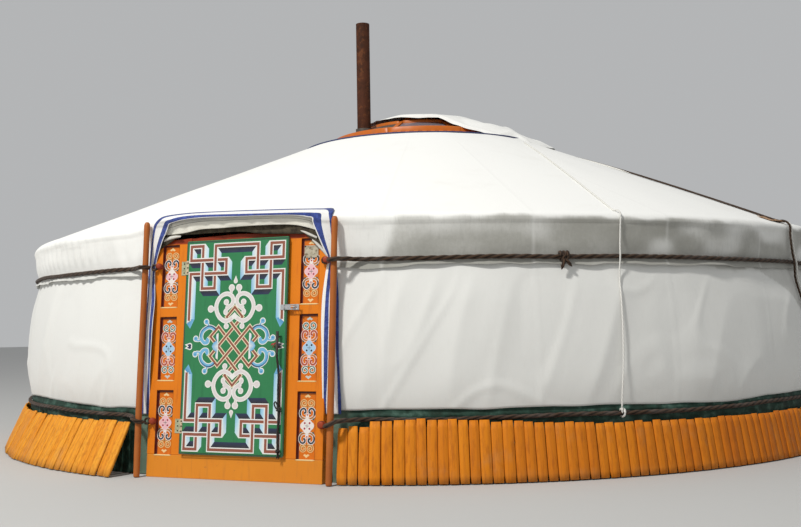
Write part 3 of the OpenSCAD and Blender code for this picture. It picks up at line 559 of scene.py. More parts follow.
# %% [markdown]
# ## The wall's canvas
# Two lengths of canvas go round the wall. They are pinched under the upper belt rope, belly out over
# the felt and are tucked in at the hem. Sewn panels about a metre wide pull the cloth straight along
# their seams, and in between it hangs in soft upright folds that run off slantwise. The folds are
# sums of smooth hills, shaped in code, because a whole wall of simulated cloth is slow and never
# settles the same way.

# %% Wall canvas
ARC = math.radians(1) * 3.52  # metres of cloth in one degree of turn
FIRST_SEAM, SEAM_STEP = 47.5, 360 / 23


def seam_gap(angle):
    """Distance to the nearest seam, in metres."""
    return np.abs((angle - FIRST_SEAM + SEAM_STEP / 2) % SEAM_STEP - SEAM_STEP / 2) * ARC


def seam_mark(angle, width=0.010):
    """1 on a seam and 0 away from it."""
    return 1 - ease(seam_gap(angle), width * 0.5, width)


def wall_folds(angle, z):
    """How far the wall's canvas stands off its even curve."""
    u = angle * ARC
    hang = ease(UPPER_BELT_Z - z, 0.0, 0.30)
    foot = ease(z - HEM_Z, -0.05, 0.22)
    upright = hills(u * 2.6 + 0.35 * hills(u, z * 2, 5), z * 0.8, 11) * 0.011
    s = u - 0.34 * z
    slant = 0.017 * (1 - np.abs(hills(s * 2.1, z * 0.6 + u * 0.2, 12))) ** 2
    slant = slant + 0.010 * (1 - np.abs(hills(s * 3.7, z * 0.9, 15))) ** 3 - 0.006
    pucker = hills(u * 7.5, z * 1.2, 13) * 0.004 * (1 - ease(UPPER_BELT_Z - z, 0.02, 0.25))
    ridge = 1 - np.abs(hills(u * 2.2 - z * 1.4, z * 1.3 + u * 0.4, 14))
    crease = np.maximum(0, ridge - 0.86) * 0.045
    pulled = -0.004 * np.exp(-(seam_gap(angle) / 0.10) ** 2)
    return (upright + slant) * hang * (0.35 + 0.65 * foot) + pucker + crease * hang + pulled * hang


# Angles, and the height down to which the wall's canvas is painted grey there, as the eave's shadow
EAVE_SHADOW_LINE = ((50, 1.40), (52.3, 1.355), (55.2, 1.300), (58.1, 1.295), (61.2, 1.318), (63.5, 1.290), (66, 1.237),
             (70, 1.107), (73, 0.985), (80, 0.90), (88, 2.0))


def make_wall_canvas(name, start, end, replaced):
    """One length of canvas between two angles."""
    columns = int((end - start) * ARC / 0.020)
    angle = np.linspace(start, end, columns)[None, :]
    u = angle * ARC
    hem = HEM_Z - 0.004 + 0.020 * hills(u * 0.9, 0, 21) + 0.006 * hills(u * 5, 0, 22)
    level = np.concatenate([np.linspace(1.0, 0.012, 58), [0.0, 0.0, 0.016]])[:, None]
    z = hem + (1.600 - hem) * level
    under = np.zeros((len(level), 1))
    under[-2:] = 0.0035
    r = wall_out(z) - 0.003 + np.clip(wall_folds(angle, z), -0.007, 0.030) - under
    r = r + 0.0016 * seam_mark(angle) * (z < UPPER_BELT_Z)
    points = round_tent(angle, r, z)
    eave_shadow_z = np.interp(angle, *zip(*EAVE_SHADOW_LINE))
    soil = 0.10 + 0.30 * ease(0.62 - z, 0.0, 0.22) * (0.6 + 0.4 * hills(u * 3, z * 3, 23)) + 0 * angle
    # Painted shade: above this line the canvas is greyed, as the eave's shadow on the wall right of the door
    soil = np.maximum(soil, 0.62 * ease(z - eave_shadow_z - 0.012 * hills(u * 5, 0, 26), -0.006, 0.006))
    piece = make_sheet(name, points, "canvas", replaced, (u, z), soil=soil, seam=seam_mark(angle))
    print(name, len(piece.data.polygons), "faces")
    return piece


wall_cloths = [make_wall_canvas("wall_cloth_right", DOOR_GAP, 179.9, ["wall_canvas_right"]),
               make_wall_canvas("wall_cloth_left", 180.1, 360 - DOOR_GAP, ["wall_canvas_left"])]
wall_canvas.on(*wall_cloths)

# %% [markdown]
# ## Felt under the canvas
# Thick pressed felt stands between the lattice and the canvas and lies on the roof poles. From
# outside it is hidden, but through the open door it is what a visitor sees between the laths. It is
# a bent grid with its thickness added by a modifier: it bulges out between the laths and sags
# between the poles, and each length laps over the next.

# %% Felt
POLE_STEP = 360 / POLE_COUNT


def make_wall_felt(name, start, end, replaced):
    """Felt between the lattice and the canvas, bulging a little between the laths."""
    angle = np.linspace(start, end, int((end - start) / 0.75))[:, None]
    z = np.linspace(0.006, 1.592, 44)[None, :]
    u = angle * ARC
    lap = 0.004 * ease((angle % 30) / 30, 0.90, 0.93)
    bulge = 0.004 * hills(u * 5, z * 5, 24) * ease(z, 0.0, 0.1)
    r = LATTICE_FOOT_R + 0.005 - z * LATTICE_LEAN + bulge + lap + 0.003
    points = round_tent(angle, r, z)
    piece = make_sheet(name, points, "felt", replaced)
    thicken(piece, -0.012)
    return piece


def make_roof_felt(name, start, end, replaced):
    """Felt on the roof poles, sagging between them."""
    angle = np.linspace(start, end, int((end - start) / POLE_STEP) * 6 + 1)[:, None]
    r = np.linspace(1.045, 3.470, 60)[None, :]
    u = angle * ARC
    between = np.sin(np.pi * (angle / POLE_STEP - 0.5)) ** 2
    sag = 0.014 * between * ease(r, 0.9, 1.3) * (1 - ease(r, 3.30, 3.44))
    z = roof_top(r) - 0.036 + 0.003 - sag + 0.0015 * hills(u * 4, r * 4, 25)
    points = round_tent(angle, r, z)
    piece = make_sheet(name, points, "felt", replaced)
    thicken(piece, 0.016)
    return piece


felts = [make_wall_felt("wall_felt_sheet_right", DOOR_GAP + 0.05, 179.98, ["wall_felt_right"]),
         make_wall_felt("wall_felt_sheet_left", 180.02, 360 - DOOR_GAP - 0.05, ["wall_felt_left"]),
         make_roof_felt("roof_felt_sheet_front", -89.98, 89.98, ["roof_felt_front"]),
         make_roof_felt("roof_felt_sheet_back", 90.02, 269.98, ["roof_felt_back"])]
felt.on(*felts)
print("felt:", sum(len(piece.data.polygons) for piece in felts), "faces")

# %% [markdown]
# ## The roof sheet
# One white sheet covers the roof and hangs over the eave as a skirt that the upper belt rope ties to
# the wall. It is modelled as one grid from the crown to the ragged hem, since a seam at the eave
# would show. Over the doorway it stops in a lifted lip. The hanging part has pleats on the left of the
# door and is painted grey in mottled patches as shade, lighter on the left and darker on the right; a
# grey strip under the belt rope is the rope's painted shadow.

# %% Roof sheet
CANVAS_EYE = 1.125
DRAPE = ((3.505, 1.590), (3.4955, 1.440), (3.4905, 1.400), (3.4885, 1.375), (3.4925, 1.350), (3.499, 1.325))


# Heights, and half the angle that is cut out of the sheet over the doorway there
DOOR_CUT = ((1.32, 11.30), (1.40, 10.95), (1.49, 10.62), (1.56, 10.30), (1.61, 10.05), (1.65, 9.75))


def roof_profile():
    """Radius and height of the sheet from the crown to the hem, and where the skirt begins."""
    down = [(r, roof_top(r)) for r in np.linspace(CANVAS_EYE, 3.430, 42)]
    bend = [(3.452, 1.6715), (3.474, 1.6645), (3.492, 1.655), (3.505, 1.642), (3.512, 1.625), (3.5135, 1.605)]
    upright = []
    for (r0, z0), (r1, z1) in zip([(3.5135, 1.605)] + list(DRAPE), DRAPE):
        count = max(1, int(abs(z1 - z0) / 0.0125))
        upright += [(r0 + (r1 - r0) * i / count, z0 + (z1 - z0) * i / count) for i in range(1, count + 1)]
    return np.array(down + bend + upright), len(down)


def make_roof_sheet():
    """The whole sheet: ripples on the roof, pleats and puckers in the hanging skirt."""
    profile, eave_row = roof_profile()
    gap = DOOR_GAP + 0.35
    around = np.concatenate([np.linspace(-gap, gap, 80), np.linspace(gap, 360 - gap, 1121)[1:-1]])
    angle = around[None, :]
    near_door = np.abs((angle + 180) % 360 - 180)
    u = angle * ARC
    r, z = profile[:, :1], profile[:, 1:]
    fall = np.concatenate([[0], np.cumsum(np.linalg.norm(np.diff(profile, axis=0), axis=1))])[:, None]
    slope = ease(r, 3.30, 3.46)
    hang = ease(1.655 - z, 0.0, 0.05)
    free = ease(z - UPPER_BELT_Z, 0.02, 0.12) + ease(UPPER_BELT_Z - z, 0.015, 0.05)
    left = ease(angle, 290, 312) * (near_door > DOOR_GAP)
    beside = ease(near_door, 11.2, 13.2)
    wave = np.sin(u * 2 * np.pi / 0.115 + 2.0 * hills(u * 2, 0, 31)) * 0.5 + 0.5
    pleat = wave ** 1.4 * (0.55 + 0.45 * hills(u * 3, 3, 32))
    off = hang * free * (left * pleat * 0.017 + (1 - left) * (0.0075 * hills(u * 4.2, z * 2.2, 33) + 0.005))
    off = off + hang * free * 0.006 * np.maximum(0, hills(u * 2.4 + z * 5, z * 5, 34))
    off = off + hang * ease(UPPER_BELT_Z - z, 0.005, 0.04) * (0.006 + 0.009 * hills(u * 6, 1, 35))
    pinch = (z - 1.585 - 0.012 * hills(u * 2, 0, 49)) / 0.016
    pinned = 0.006 * np.maximum(0, hills(u * 5.5, 4, 48)) * np.exp(-pinch ** 2)
    off = (off + hang * pinned) * beside
    ripple = 0.0035 * hills(u * 1.2, fall * 0.9, 36) + 0.0022 * hills(u * 3.1 + fall, fall * 2.1, 37)
    ripple = ripple * ease(r, 1.0, 1.5) * (1 - 0.75 * slope)
    ripple = ripple + 0.004 * np.maximum(0, hills(u * 0.8, fall * 0.7, 38)) * ease(r, 1.2, 2.0)
    calm = np.maximum(ease(near_door, 11.5, 17.0), 1 - ease(r, 2.7, 3.2))
    droop = 0.012 * np.maximum(0, hills(u * 1.9, 2, 39)) * slope * (1 - hang)
    lip = lip_lift((angle + 180) % 360 - 180) * ease(r, 3.05, 3.42) * ease(z, 1.50, 1.66)
    hem_drop = (0.012 * hills(u * 2.2, 0, 41) + 0.008 * hills(u * 9, 0, 42)) * ease(UPPER_BELT_Z - z, 0.0, 0.05)
    radius = r + off + 0.001
    height = z + (np.maximum(ripple, -0.0015) * (1 - hang) + droop) * calm + lip + hem_drop
    seam = seam_mark(angle, 0.012) * ease(r, 1.2, 1.6)
    height = height + 0.0012 * seam * (1 - hang)
    points = round_tent(angle, radius, height)
    rows, columns = points.shape[:2]
    signed = (angle + 180) % 360 - 180
    cut = np.abs(signed) < np.interp(z + 0 * angle, *zip(*DOOR_CUT))
    keep = ~(cut[:-1] & (np.arange(rows - 1)[:, None] >= eave_row + 2))
    # Painted shade on the hanging skirt: grey mottled patches below a ragged line under the eave, greyer right
    # of the door and lighter on the left, where the light falls
    patch = 0.5 * hills(u * 1.6 + z, z * 5, 43) + 0.35 * hills(u * 4.5, z * 9, 44) + 0.25 * ease(u, 2.2, 3.2)
    patch = ease(patch - 1.6 * (z - 1.50), -0.35, 0.30)
    edge = 1.632 + 0.018 * hills(u * 3, 0, 45) + 0.012 * hills(u * 8, 0, 46) + 0.005 * hills(u * 17, 0, 50)
    skirt_shade = (0.27 + 0.55 * patch) * ease(near_door * ARC - 0.30 * (z - 1.38), 0.95, 1.06)
    soil = ease(edge - z, -0.012, 0.022) * np.maximum(skirt_shade, 0.25) * (1 - 0.72 * left)
    # Painted shadow of the belt rope: the hem below it is grey
    soil = np.maximum(soil, 0.95 * ease(1.360 - z, 0, 0.008) * (1 - 0.5 * left))
    soil = soil + 0.04 * (1 - ease(r, 1.0, 1.2))
    sheet = make_sheet("roof_sheet", points, "canvas", ["roof_canvas", "eave_drape"], (u, fall),
                       grid_faces(rows, columns, True, keep), soil=soil, seam=seam)
    print("roof sheet:", len(sheet.data.polygons), "faces,", eave_row, "rows on the roof")
    return sheet


roof_sheet = make_roof_sheet()
roof_canvas.on(roof_sheet)
eye_ring = [turned(a, CANVAS_EYE - 0.002 + 0.004 * float(hills(a / 9, 0, 47, 40)),
                   roof_top(CANVAS_EYE) + 0.006) for a in np.arange(0, 360, 2.0)]
eye_hem = make_rope("roof_eye_binding",
                    [rope_shell(eye_ring + eye_ring[:2], 0.0075, 0.6, 0.02, sides=8, depth=0.1)], "canvas")
mottled("blue_binding", 0.85, (30, 4, 0.7), (0.020, 0.028, 0.085), (0.075, 0.090, 0.19), (200, 2), 0.3,
        specular_ior_level=0.2).on(eye_hem)

# %% [markdown]
# ## Ropes that hold the tent
# Two belts of dark hair rope go round the wall and end on pegs in the door frame, passing in front
# of the leaning poles. Dark and white ropes come down the roof from the smoke flap. They are taut
# parts of the tent, so they are shaped on the same lines as their solids and pressed against the
# cloth by a few millimetres.

# %% Belt ropes
RIGHT_POLE_X, LEFT_POLE_X = 0.710, -0.678
POLE_FOOT_Y, POLE_HEAD_R, POLE_HEAD_Z = 3.608, 3.545, 1.680
UPPER_PEG_Z, LOWER_PEG_Z = 1.375, 0.359


def pole_y(z, x):
    """How far in front of the middle a leaning pole stands, at a height."""
    return POLE_FOOT_Y - (POLE_FOOT_Y - math.sqrt(POLE_HEAD_R ** 2 - x * x)) * z / POLE_HEAD_Z


def belt_end(x, z, dip):
    """From a peg over the pole at x to the pole's far side; dip is how far the end hangs down."""
    way, front = math.copysign(1, x), pole_y(z, x) + 0.0365
    steps = ((-0.030, 0.036, 1), (-0.022, 0.010, 1), (0, 0, 0.7), (0.030, 0.010, 0.3), (0.060, 0.050, 0))
    return [Vector((x + way * sideways, -front + back, z - dip * share)) for sideways, back, share in steps]


def belt_line(z, radius, wander, seed, dip):
    """From the right peg over the pole, round the wall and back to the left peg."""
    arc = [turned(a, radius, z + wander * float(hills(a / 7.0, 0, seed)))
           for a in np.linspace(14.3, 345.7, 150)]
    return belt_end(RIGHT_POLE_X, z, dip) + arc + belt_end(LEFT_POLE_X, z, dip)[::-1]


def peg_wrap(side, w, seed):
    """A turn of thinner rope round the neck of a peg."""
    centre = on_door(side * 0.634, -0.010, w)
    out = (on_door(0, -1, 0) - on_door(0, 0, 0)).normalized()
    turns = ring_line(centre, X * side, Z, 0.0185, 1.9, out * 0.011, start=0.4)
    return [rope_shell(turns, 0.0065, 0.045, 0.005, sides=10, wild=0.06, seed=seed, taper=0.012)]


def hitch(angle, radius, z, seed):
    """Turns of rope round a belt, with two short tails: the knot that joins its two ends."""
    centre = turned(angle, radius, z)
    along, out = turned(angle + 90, 1, 0), turned(angle, 1, 0)
    turns = ring_line(centre - along * 0.030, out, Z, 0.0255, 2.6, along * 0.024)
    shells = [rope_shell(turns, 0.0125, 0.045, 0.006, sides=10, wild=0.08, seed=seed, taper=0.02)]
    for lean, long in ((-0.35, 0.075), (0.55, 0.055)):
        start = centre + out * 0.026 - Z * 0.010
        bend = start + along * (lean * 0.04) - Z * 0.035 + out * 0.004
        shells.append(rope_shell([start, bend, start + along * (lean * 0.08) - Z * long],
                                 0.011, 0.045, 0.006, sides=10, wild=0.12, seed=seed + 2, taper=0.02))
    return shells


def make_belt(name, line, r, peg_z, seeds, extra, replaced):
    """A belt rope, its wraps round two pegs, and what else belongs to it."""
    shells = [rope_shell(line, r, 0.075, 0.0085, sides=12, depth=0.24, wild=0.05)] + extra
    shells += peg_wrap(1, peg_z, seeds[0]) + peg_wrap(-1, peg_z, seeds[1])
    return make_rope(name, shells, "rope_dark", replaced=replaced)


belt_upper = make_belt("belt_rope_twist_upper", belt_line(UPPER_BELT_Z, UPPER_ROPE_R, 0.004, 51, 0.004), 0.0155,
                       UPPER_PEG_Z, (55, 56), hitch(35.0, UPPER_ROPE_R, UPPER_BELT_Z, 53), ["belt_rope_upper"])
belt_lower = make_belt("belt_rope_twist_lower", belt_line(LOWER_BELT_Z, LOWER_ROPE_R, 0.006, 52, 0.030), 0.0150,
                       LOWER_PEG_Z, (57, 58), [], ["belt_rope_lower"])

# %% [markdown]
# ## Ropes down the roof
# Each of these ropes leaves the smoke flap's edge, comes straight down the roof, bends over the eave,
# passes over both belts and is tied to the lower one. Only their angles and thickness differ, so one
# function walks the whole way for all five.

# %% Roof ropes
def roof_line(head, eave, foot, lift, foot_z=0.43):
    """From the flap's edge straight down the roof, over the eave, over both belts and down the wall."""
    a, b = turned(head, 1.350, 0), turned(eave, EAVE_R, 0)
    line = []
    for t in np.linspace(0, 1, 13):
        p = a.lerp(b, t)
        line.append(Vector((p.x, p.y, roof_top(p.length) + lift)))
    line.append(turned(eave, 3.500, EAVE_TOP + lift - 0.010))
    line.append(turned(eave, 3.524 + lift, EAVE_TOP - 0.034))
    for r, z in ((3.520, 1.560), (3.520, 1.440), (3.524, 1.390), (3.524, 1.360)):
        line.append(turned(eave + (foot - eave) * (1.62 - z) / 0.9, r + lift, z))
    for z in np.arange(1.25, foot_z + 0.06, -0.12):
        line.append(turned(eave + (foot - eave) * (1.62 - z) / 0.9, float(wall_out(z)) + lift + 0.012, z))
    line.append(turned(eave + (foot - eave) * 1.3, 3.566 + lift, foot_z))
    line.append(turned(eave + (foot - eave) * 1.35, 3.573 + lift, LOWER_BELT_Z + 0.012))
    return line


def tied_foot(line):
    """The last turn of a roof rope, round the lower belt."""
    end = line[-1]
    out = Vector((end.x, end.y, 0)).normalized()
    centre = Vector((out.x * LOWER_ROPE_R, out.y * LOWER_ROPE_R, LOWER_BELT_Z))
    turns = ring_line(centre, out, Z, 0.024, 1.5, Z.cross(out) * 0.018)
    return rope_shell(turns, 0.0075, 0.035, 0.006, sides=8, taper=0.012)


dark_lines = [roof_line(98, 70, 73.6, 0.013), roof_line(240, 244, 246, 0.013)]
dark_shells = [rope_shell(line, 0.0085, 0.035, 0.009, sides=9, depth=0.22, wild=0.05) for line in dark_lines]
roof_dark = make_rope("roof_rope_twist_dark", dark_shells + [tied_foot(line) for line in dark_lines],
                      "rope_dark", replaced=["roof_rope_dark"])
white_lines = [roof_line(62, 41.4, 40.7, 0.007), roof_line(178, 184, 185, 0.009),
               roof_line(97, 70.5, 75.2, 0.011)]
white_shells = [rope_shell(line, r, 0.030, 0.009, sides=8, depth=0.2)
                for line, r in zip(white_lines, (0.0055, 0.0065, 0.0075))]
roof_white = make_rope("roof_rope_twist_white", white_shells + [tied_foot(line) for line in white_lines],
                       "rope_white", replaced=["roof_rope_white"])

# %% [markdown]
# ## Turned pegs and leaning poles
# The belts are tied to four painted pegs and pass over two poles that lean beside the door. A turned
# thing is a row of rings along a line, each with its own radius: a neck, a collar, a thick body and a
# rounded end. The same function makes the poles, with a little sway, since they are only peeled stems.

# %% Pegs
def lathe(base, end, profile, sides=20, sway=0.0, seed=0):
    """A turned thing between two points; its profile gives shares of the way and radii."""
    axis = (end - base).normalized()
    across = axis.cross(Z if abs(axis.z) < 0.9 else Vector((0, -1, 0))).normalized()
    upward = across.cross(axis)
    points = []
    for t, r in profile:
        centre = base.lerp(end, t) + across * (sway * float(hills(t * 3, 0, seed)))
        centre = centre + upward * (sway * float(hills(t * 3, 9, seed)))
        for k in range(sides):
            a = 2 * math.pi * k / sides
            knob = r + 0.06 * sway * float(hills(k / sides * 4, t * 14, seed + 1, 4))
            points.append(centre + across * (knob * math.cos(a)) + upward * (knob * math.sin(a)))
    return points, tube_faces(len(profile), sides)


def lathes(name, jobs, slot, body="ger", replaced=(), sides=20, sway=0.0):
    """A piece of several turned things."""
    points, faces = [], []
    for i, (base, end, profile) in enumerate(jobs):
        add_shell(points, faces, *lathe(base, end, profile, sides, sway, 71 + i))
    return make_piece(name, points, faces, body, replaced, slot)


PEG_PROFILE = ((0, 0.55), (0.10, 0.62), (0.16, 1.12), (0.24, 1.16), (0.30, 0.96), (0.55, 1.0), (0.84, 1.0),
               (0.93, 0.90), (0.98, 0.66), (1.0, 0.30))
# Where each peg leaves the frame, where it ends, its height and its radius
PEGS = ((0.640, 0.648, 1.376, 0.0195), (0.636, 0.641, 0.357, 0.0225),
        (-0.604, -0.584, 1.380, 0.0190), (-0.604, -0.580, 0.358, 0.0205))
peg_jobs = [(on_door(u, 0.0, w), on_door(v, -0.048, w + 0.002), [(t, share * r) for t, share in PEG_PROFILE])
            for u, v, w, r in PEGS]
pegs = lathes("rope_peg_knobs", peg_jobs, "peg", replaced=["rope_pegs"])


def stick_profile(low, high):
    """A sawn and rubbed end, a slightly uneven shaft and a rounded top."""
    shaft = [(t, low + (high - low) * t + 0.0009 * float(hills(t * 9, 3, 75)))
             for t in np.linspace(0.012, 0.985, 44)]
    foot = [(0.0, 0.6 * low), (0.002, 0.86 * low), (0.006, 0.97 * low)]
    return foot + shaft + [(0.991, 0.93 * high), (0.996, 0.80 * high), (1.0, 0.50 * high)]


pole_tops = {RIGHT_POLE_X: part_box("door_pole_right")[1][2] - 0.038,
             LEFT_POLE_X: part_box("door_pole_left")[1][2] - 0.004}
pole_jobs = [(Vector((x, -POLE_FOOT_Y, 0.0)), Vector((x, -pole_y(top, x), top)), stick_profile(0.0208, 0.0200))
             for x, top in pole_tops.items()]
door_poles = lathes("leaning_poles", pole_jobs, "door_pole", replaced=["door_pole_left", "door_pole_right"],
                    sides=24, sway=0.0022)
print("pegs turned, poles", [round(top, 3) for top in pole_tops.values()])

# %% [markdown]
# ## Pads under the dark ropes
# Where the dark ropes bend over the eave, a scrap of leather keeps them from cutting the canvas. Each
# scrap is a small bent grid with curled edges.

# %% Eave pads
def make_pads():
    """Two scraps, bent over the eave where the dark ropes pass."""
    points, faces = [], []
    for foot in (70, 244):
        across, along = np.linspace(-1, 1, 15)[:, None], np.linspace(0, 1, 19)[None, :]
        stops = (0, 0.64, 0.72, 0.80, 1)
        r = np.interp(along, stops, (3.352, 3.438, 3.462, 3.484, 3.488)) + 0 * across
        z = np.interp(along, stops, (roof_top(3.352), roof_top(3.438), roof_top(3.455), 1.676, 1.664)) + 0.0085
        edge = np.maximum(np.abs(across), np.abs(2 * along - 1))
        z = z + 0.0030 * ease(edge, 0.75, 1.0) + 0.0020 * hills(across * 3 + foot, along * 3, 76)
        angle = foot + across * (2.15 + 0.12 * hills(along * 5, foot, 77))
        add_shell(points, faces, round_tent(angle, r, z).reshape(-1, 3), grid_faces(15, 19).tolist())
    pads = make_piece("eave_leather_pads", points, faces, "ger", ["eave_pad"], "pad")
    thicken(pads, 0.0035)
    return pads


pads = make_pads()
print("pads:", len(pads.data.polygons), "faces")

# %% [markdown]
# ## Rope finishes
# Hair rope is nearly black in the grooves between its strands, painted dark there as shade, and dusty
# brown on their backs; the white rope's grooves are painted grey the same way. The depth that was stored
# on the points does that, and fine streaks run slantwise along the strands.

# %% Rope finish
def twisted(name, groove_shade, back, roughness):
    f = Finish(name, roughness=roughness, sheen_weight=0.1, specular_ior_level=0.15)
    hair = f.noise(260, 3, 0.7)
    dust = f.noise(7, 3, 0.6)
    # Painted shade: the colour darkens into the grooves between the strands
    share = f.mark("lobe").step(0.15, 0.95) * 0.8 + hair * 0.35 - 0.1
    colour = f.mix(share.step(0.0, 1.0), groove_shade, back)
    f.set("Base Color", f.mix(dust.step(0.45, 0.8) * 0.35, colour, tuple(0.6 * c + 0.12 for c in back)))
    return f.bump(hair, 0.6, 0.0015)


hair_rope = twisted("hair_rope", (0.010, 0.006, 0.004), (0.070, 0.040, 0.024), 0.85)
white_rope = twisted("white_rope", (0.55, 0.54, 0.50), (0.84, 0.83, 0.79), 0.8)
braid = twisted("braided_cord", (0.008, 0.007, 0.007), (0.040, 0.034, 0.030), 0.75)
hair_rope.on(belt_upper, belt_lower, roof_dark)
white_rope.on(roof_white)
braid.on(pull_rope, pull_knot, pull_tail)
print("rope finishes ready")

# %% [markdown]
# ## A scrap on the handle
# A strip of red cloth is tied to the door's handle, and its two ends hang out to the left. At this
# size two narrow bent grids are enough, with a wave along them.

# %% Red scrap
def make_ribbon():
    """The two ends of the scrap."""
    points, faces = [], []
    for drop, reach in ((0.010, 0.046), (0.030, 0.034)):
        along, across = np.linspace(0, 1, 14)[:, None], np.linspace(-1, 1, 4)[None, :]
        u = 0.3250 - reach * along + 0.002 * across
        w = 0.858 - drop * along ** 2 + across * (0.0045 + 0.0015 * along) + 0.002 * np.sin(along * 9)
        v = -0.0500 + 0.0150 * along + 0.0025 * np.sin(along * 11 + across)
        places = zip((u + 0 * w).ravel(), (v + 0 * w).ravel(), w.ravel())
        add_shell(points, faces, [on_door(*map(float, place)) for place in places], grid_faces(14, 4).tolist())
    ribbon = make_piece("handle_ribbon", points, faces, "door", (), "rope_dark")
    thicken(ribbon, 0.0012)
    return ribbon


ribbon = make_ribbon()
mottled("red_ribbon", 0.7, (90, 3), (0.30, 0.010, 0.010), (0.46, 0.030, 0.022), (300, 2), 0.3, 0.0006,
        sheen_weight=0.3).on(ribbon)
print("scrap:", len(ribbon.data.polygons), "faces")

# %% [markdown]
# ## The plank skirt
# Short upright boards lean against the tarpaulin to keep the wind out. No two are alike: each has its
# own width, height, lean and stain. Each board is a rounded outline drawn up in a few steps, because
# a rounded edge catches light and a cube's doesn't, and its tint is stored on its points.

# %% Plank skirt
def board(foot, top, across, out, width, thick, rows=4, round_off=0.004, crown=0.0):
    """One board between two points on its middle line, with rounded edges."""
    w, t, b = width / 2, thick / 2, round_off
    outline = [(-w, -t + b), (-w + b, -t), (w - b, -t), (w, -t + b), (w, t - b), (w - b, t), (-w + b, t),
               (-w, t - b)]
    up = (top - foot).normalized()
    points = []
    for i in range(rows + 2):
        middle = foot.lerp(top, min(1.0, max(0.0, (i - 0.5) / rows)))
        shrink = 0.0035 if i in (0, rows + 1) else 0.0
        for a, c in outline:
            rise = crown * (1 - (a / w) ** 2) if i >= rows else 0.0
            a -= math.copysign(shrink, a)
            c -= math.copysign(min(shrink, t * 0.5), c)
            points.append(middle + across * a + out * c + up * rise)
    return points, tube_faces(rows + 2, len(outline))


# Angles, then the height of the skirt's top and how pale its boards are there
SKIRT_TOP = ((11.7, 14.4, 15.6, 22, 27, 32, 40, 60, 80, 100),
             (0.343, 0.345, 0.383, 0.386, 0.370, 0.352, 0.334, 0.320, 0.322, 0.343))
SKIRT_TINT = ((11, 35, 60, 100, 285, 300, 350), (0.44, 0.34, 0.10, 0.25, 0.25, 0.80, 0.86))


def make_planks(name, start, end, splay, replaced, seed):
    """A run of boards between two angles; splay is how far their feet stand out."""
    rng = np.random.default_rng(seed)
    points, faces, tint, grain = [], [], [], []
    angle = start + 0.05
    count = 0
    while True:
        width = rng.uniform(0.060, 0.071)
        step = math.degrees((width + rng.uniform(0.001, 0.005)) / 3.60)
        if angle + step > end:
            break
        a = angle + step / 2
        out, across = turned(a, 1, 0), turned(a + 90, 1, 0)
        thick = rng.uniform(0.016, 0.021)
        lean = splay * rng.uniform(0.93, 1.0) * np.interp(a, (285.0, 300.0, 326.0), (1.0, 0.72, 1.0))
        foot = out * (SKIRT_R + lean + 0.011) + Z * 0.006
        top = out * (SKIRT_R + 0.011 + rng.uniform(-0.002, 0.006))
        top = top + Z * (np.interp(a, *SKIRT_TOP) + rng.uniform(-0.007, 0.007))
        top = top + across * rng.uniform(-0.003, 0.003)
        along = (top - foot).normalized()
        p, f = board(foot, top, across, across.cross(along) * -1, width, thick,
                     crown=rng.uniform(-0.002, 0.003))
        add_shell(points, faces, p, f)
        tint += [np.interp(a, *SKIRT_TINT) + rng.uniform(-0.14, 0.14)] * len(p)
        grain += [((q - foot).dot(across) + count * 0.37, (q - foot).dot(out), (q - foot).dot(along))
                  for q in p]
        angle += step
        count += 1
    planks = make_piece(name, points, faces, "ger", replaced, "plank", smooth=True, tint=tint, grain=grain)
    print(name, count, "boards")
    return planks


plank_runs = [make_planks("planks_right", 11.70, 180, 0.068, ["skirt_planks_right"], 71),
              make_planks("planks_back", 180, 285, 0.068, ["skirt_planks_back"], 72),
              make_planks("planks_left", 285, 360 - 11.85, 0.190, ["skirt_planks_left"], 73)]


def stained_plank():
    f = Finish("stained_plank", roughness=0.65, specular_ior_level=0.15)
    streak = f.noise(30, 5, 0.65, (1.6, 1.6, 0.09), "grain")
    rings = f.waves(9, "X", (1.0, 1.0, 0.12), "grain", warp=6.0)
    dirt = f.noise(5, 4, 0.6)
    foot = 1 - f.height().step(0.0, 0.09)
    colour = f.ramp(f.mark("tint"), (0.0, (0.56, 0.150, 0.008)), (0.5, (0.70, 0.225, 0.010)),
                    (1.0, (0.80, 0.340, 0.030)))
    colour = f.mix(streak.step(0.46, 0.68) * 0.42, colour, (0.32, 0.080, 0.010))
    colour = f.mix(rings.step(0.55, 1.0) * 0.22, colour, (0.38, 0.11, 0.014))
    colour = f.mix(dirt.step(0.55, 0.80) * 0.30, colour, (0.40, 0.25, 0.13))
    colour = f.mix(foot * dirt.step(0.3, 0.6) * 0.35, colour, (0.36, 0.17, 0.06))
    f.set("Base Color", colour).set("Roughness", 0.5 + streak * 0.25)
    return f.bump(streak + rings * 0.4, 0.5, 0.0015)


stained_plank().on(*plank_runs)

# %% [markdown]
# ## The tarpaulin behind the planks
# A strip of green tarpaulin runs round the foot of the wall, pinched by the lower belt and tucked up
# under the canvas. Only a hand's breadth shows, so its wrinkles matter more than its weave.

# %% Tarpaulin
def make_tarp():
    """One strip round the tent, wrinkled where the belt doesn't pinch it."""
    angle = np.linspace(DOOR_GAP, 360 - DOOR_GAP, 900)[None, :]
    u = angle * ARC
    z = np.concatenate([np.linspace(0.500, 0.425, 4), np.linspace(0.418, 0.30, 15),
                        np.linspace(0.28, 0.004, 8)])[:, None]
    pinch = ease(np.abs(z - LOWER_BELT_Z), 0.004, 0.028)
    below = ease(0.425 - z, 0.0, 0.02)
    fold = np.abs(hills(u * 6 + 2 * hills(u * 2, z * 5, 81), z * 9, 82)) * 0.016
    fold = fold + 0.006 * hills(u * 14, z * 30, 83)
    r = TARP_R + below * (0.0045 + pinch * np.maximum(fold, 0.0)) + 0.003 * ease(0.3 - z, 0, 0.3)
    points = round_tent(angle, r, z)
    # Painted light: the tarpaulin is painted paler near the door, as if lit there
    tarp = make_sheet("tarp_strip", points, "tarp", ["skirt_tarp"],
                      pale=1 - ease(np.minimum(angle, 360 - angle), 11.6, 13.4))
    print("tarp:", len(tarp.data.polygons), "faces")
    return tarp


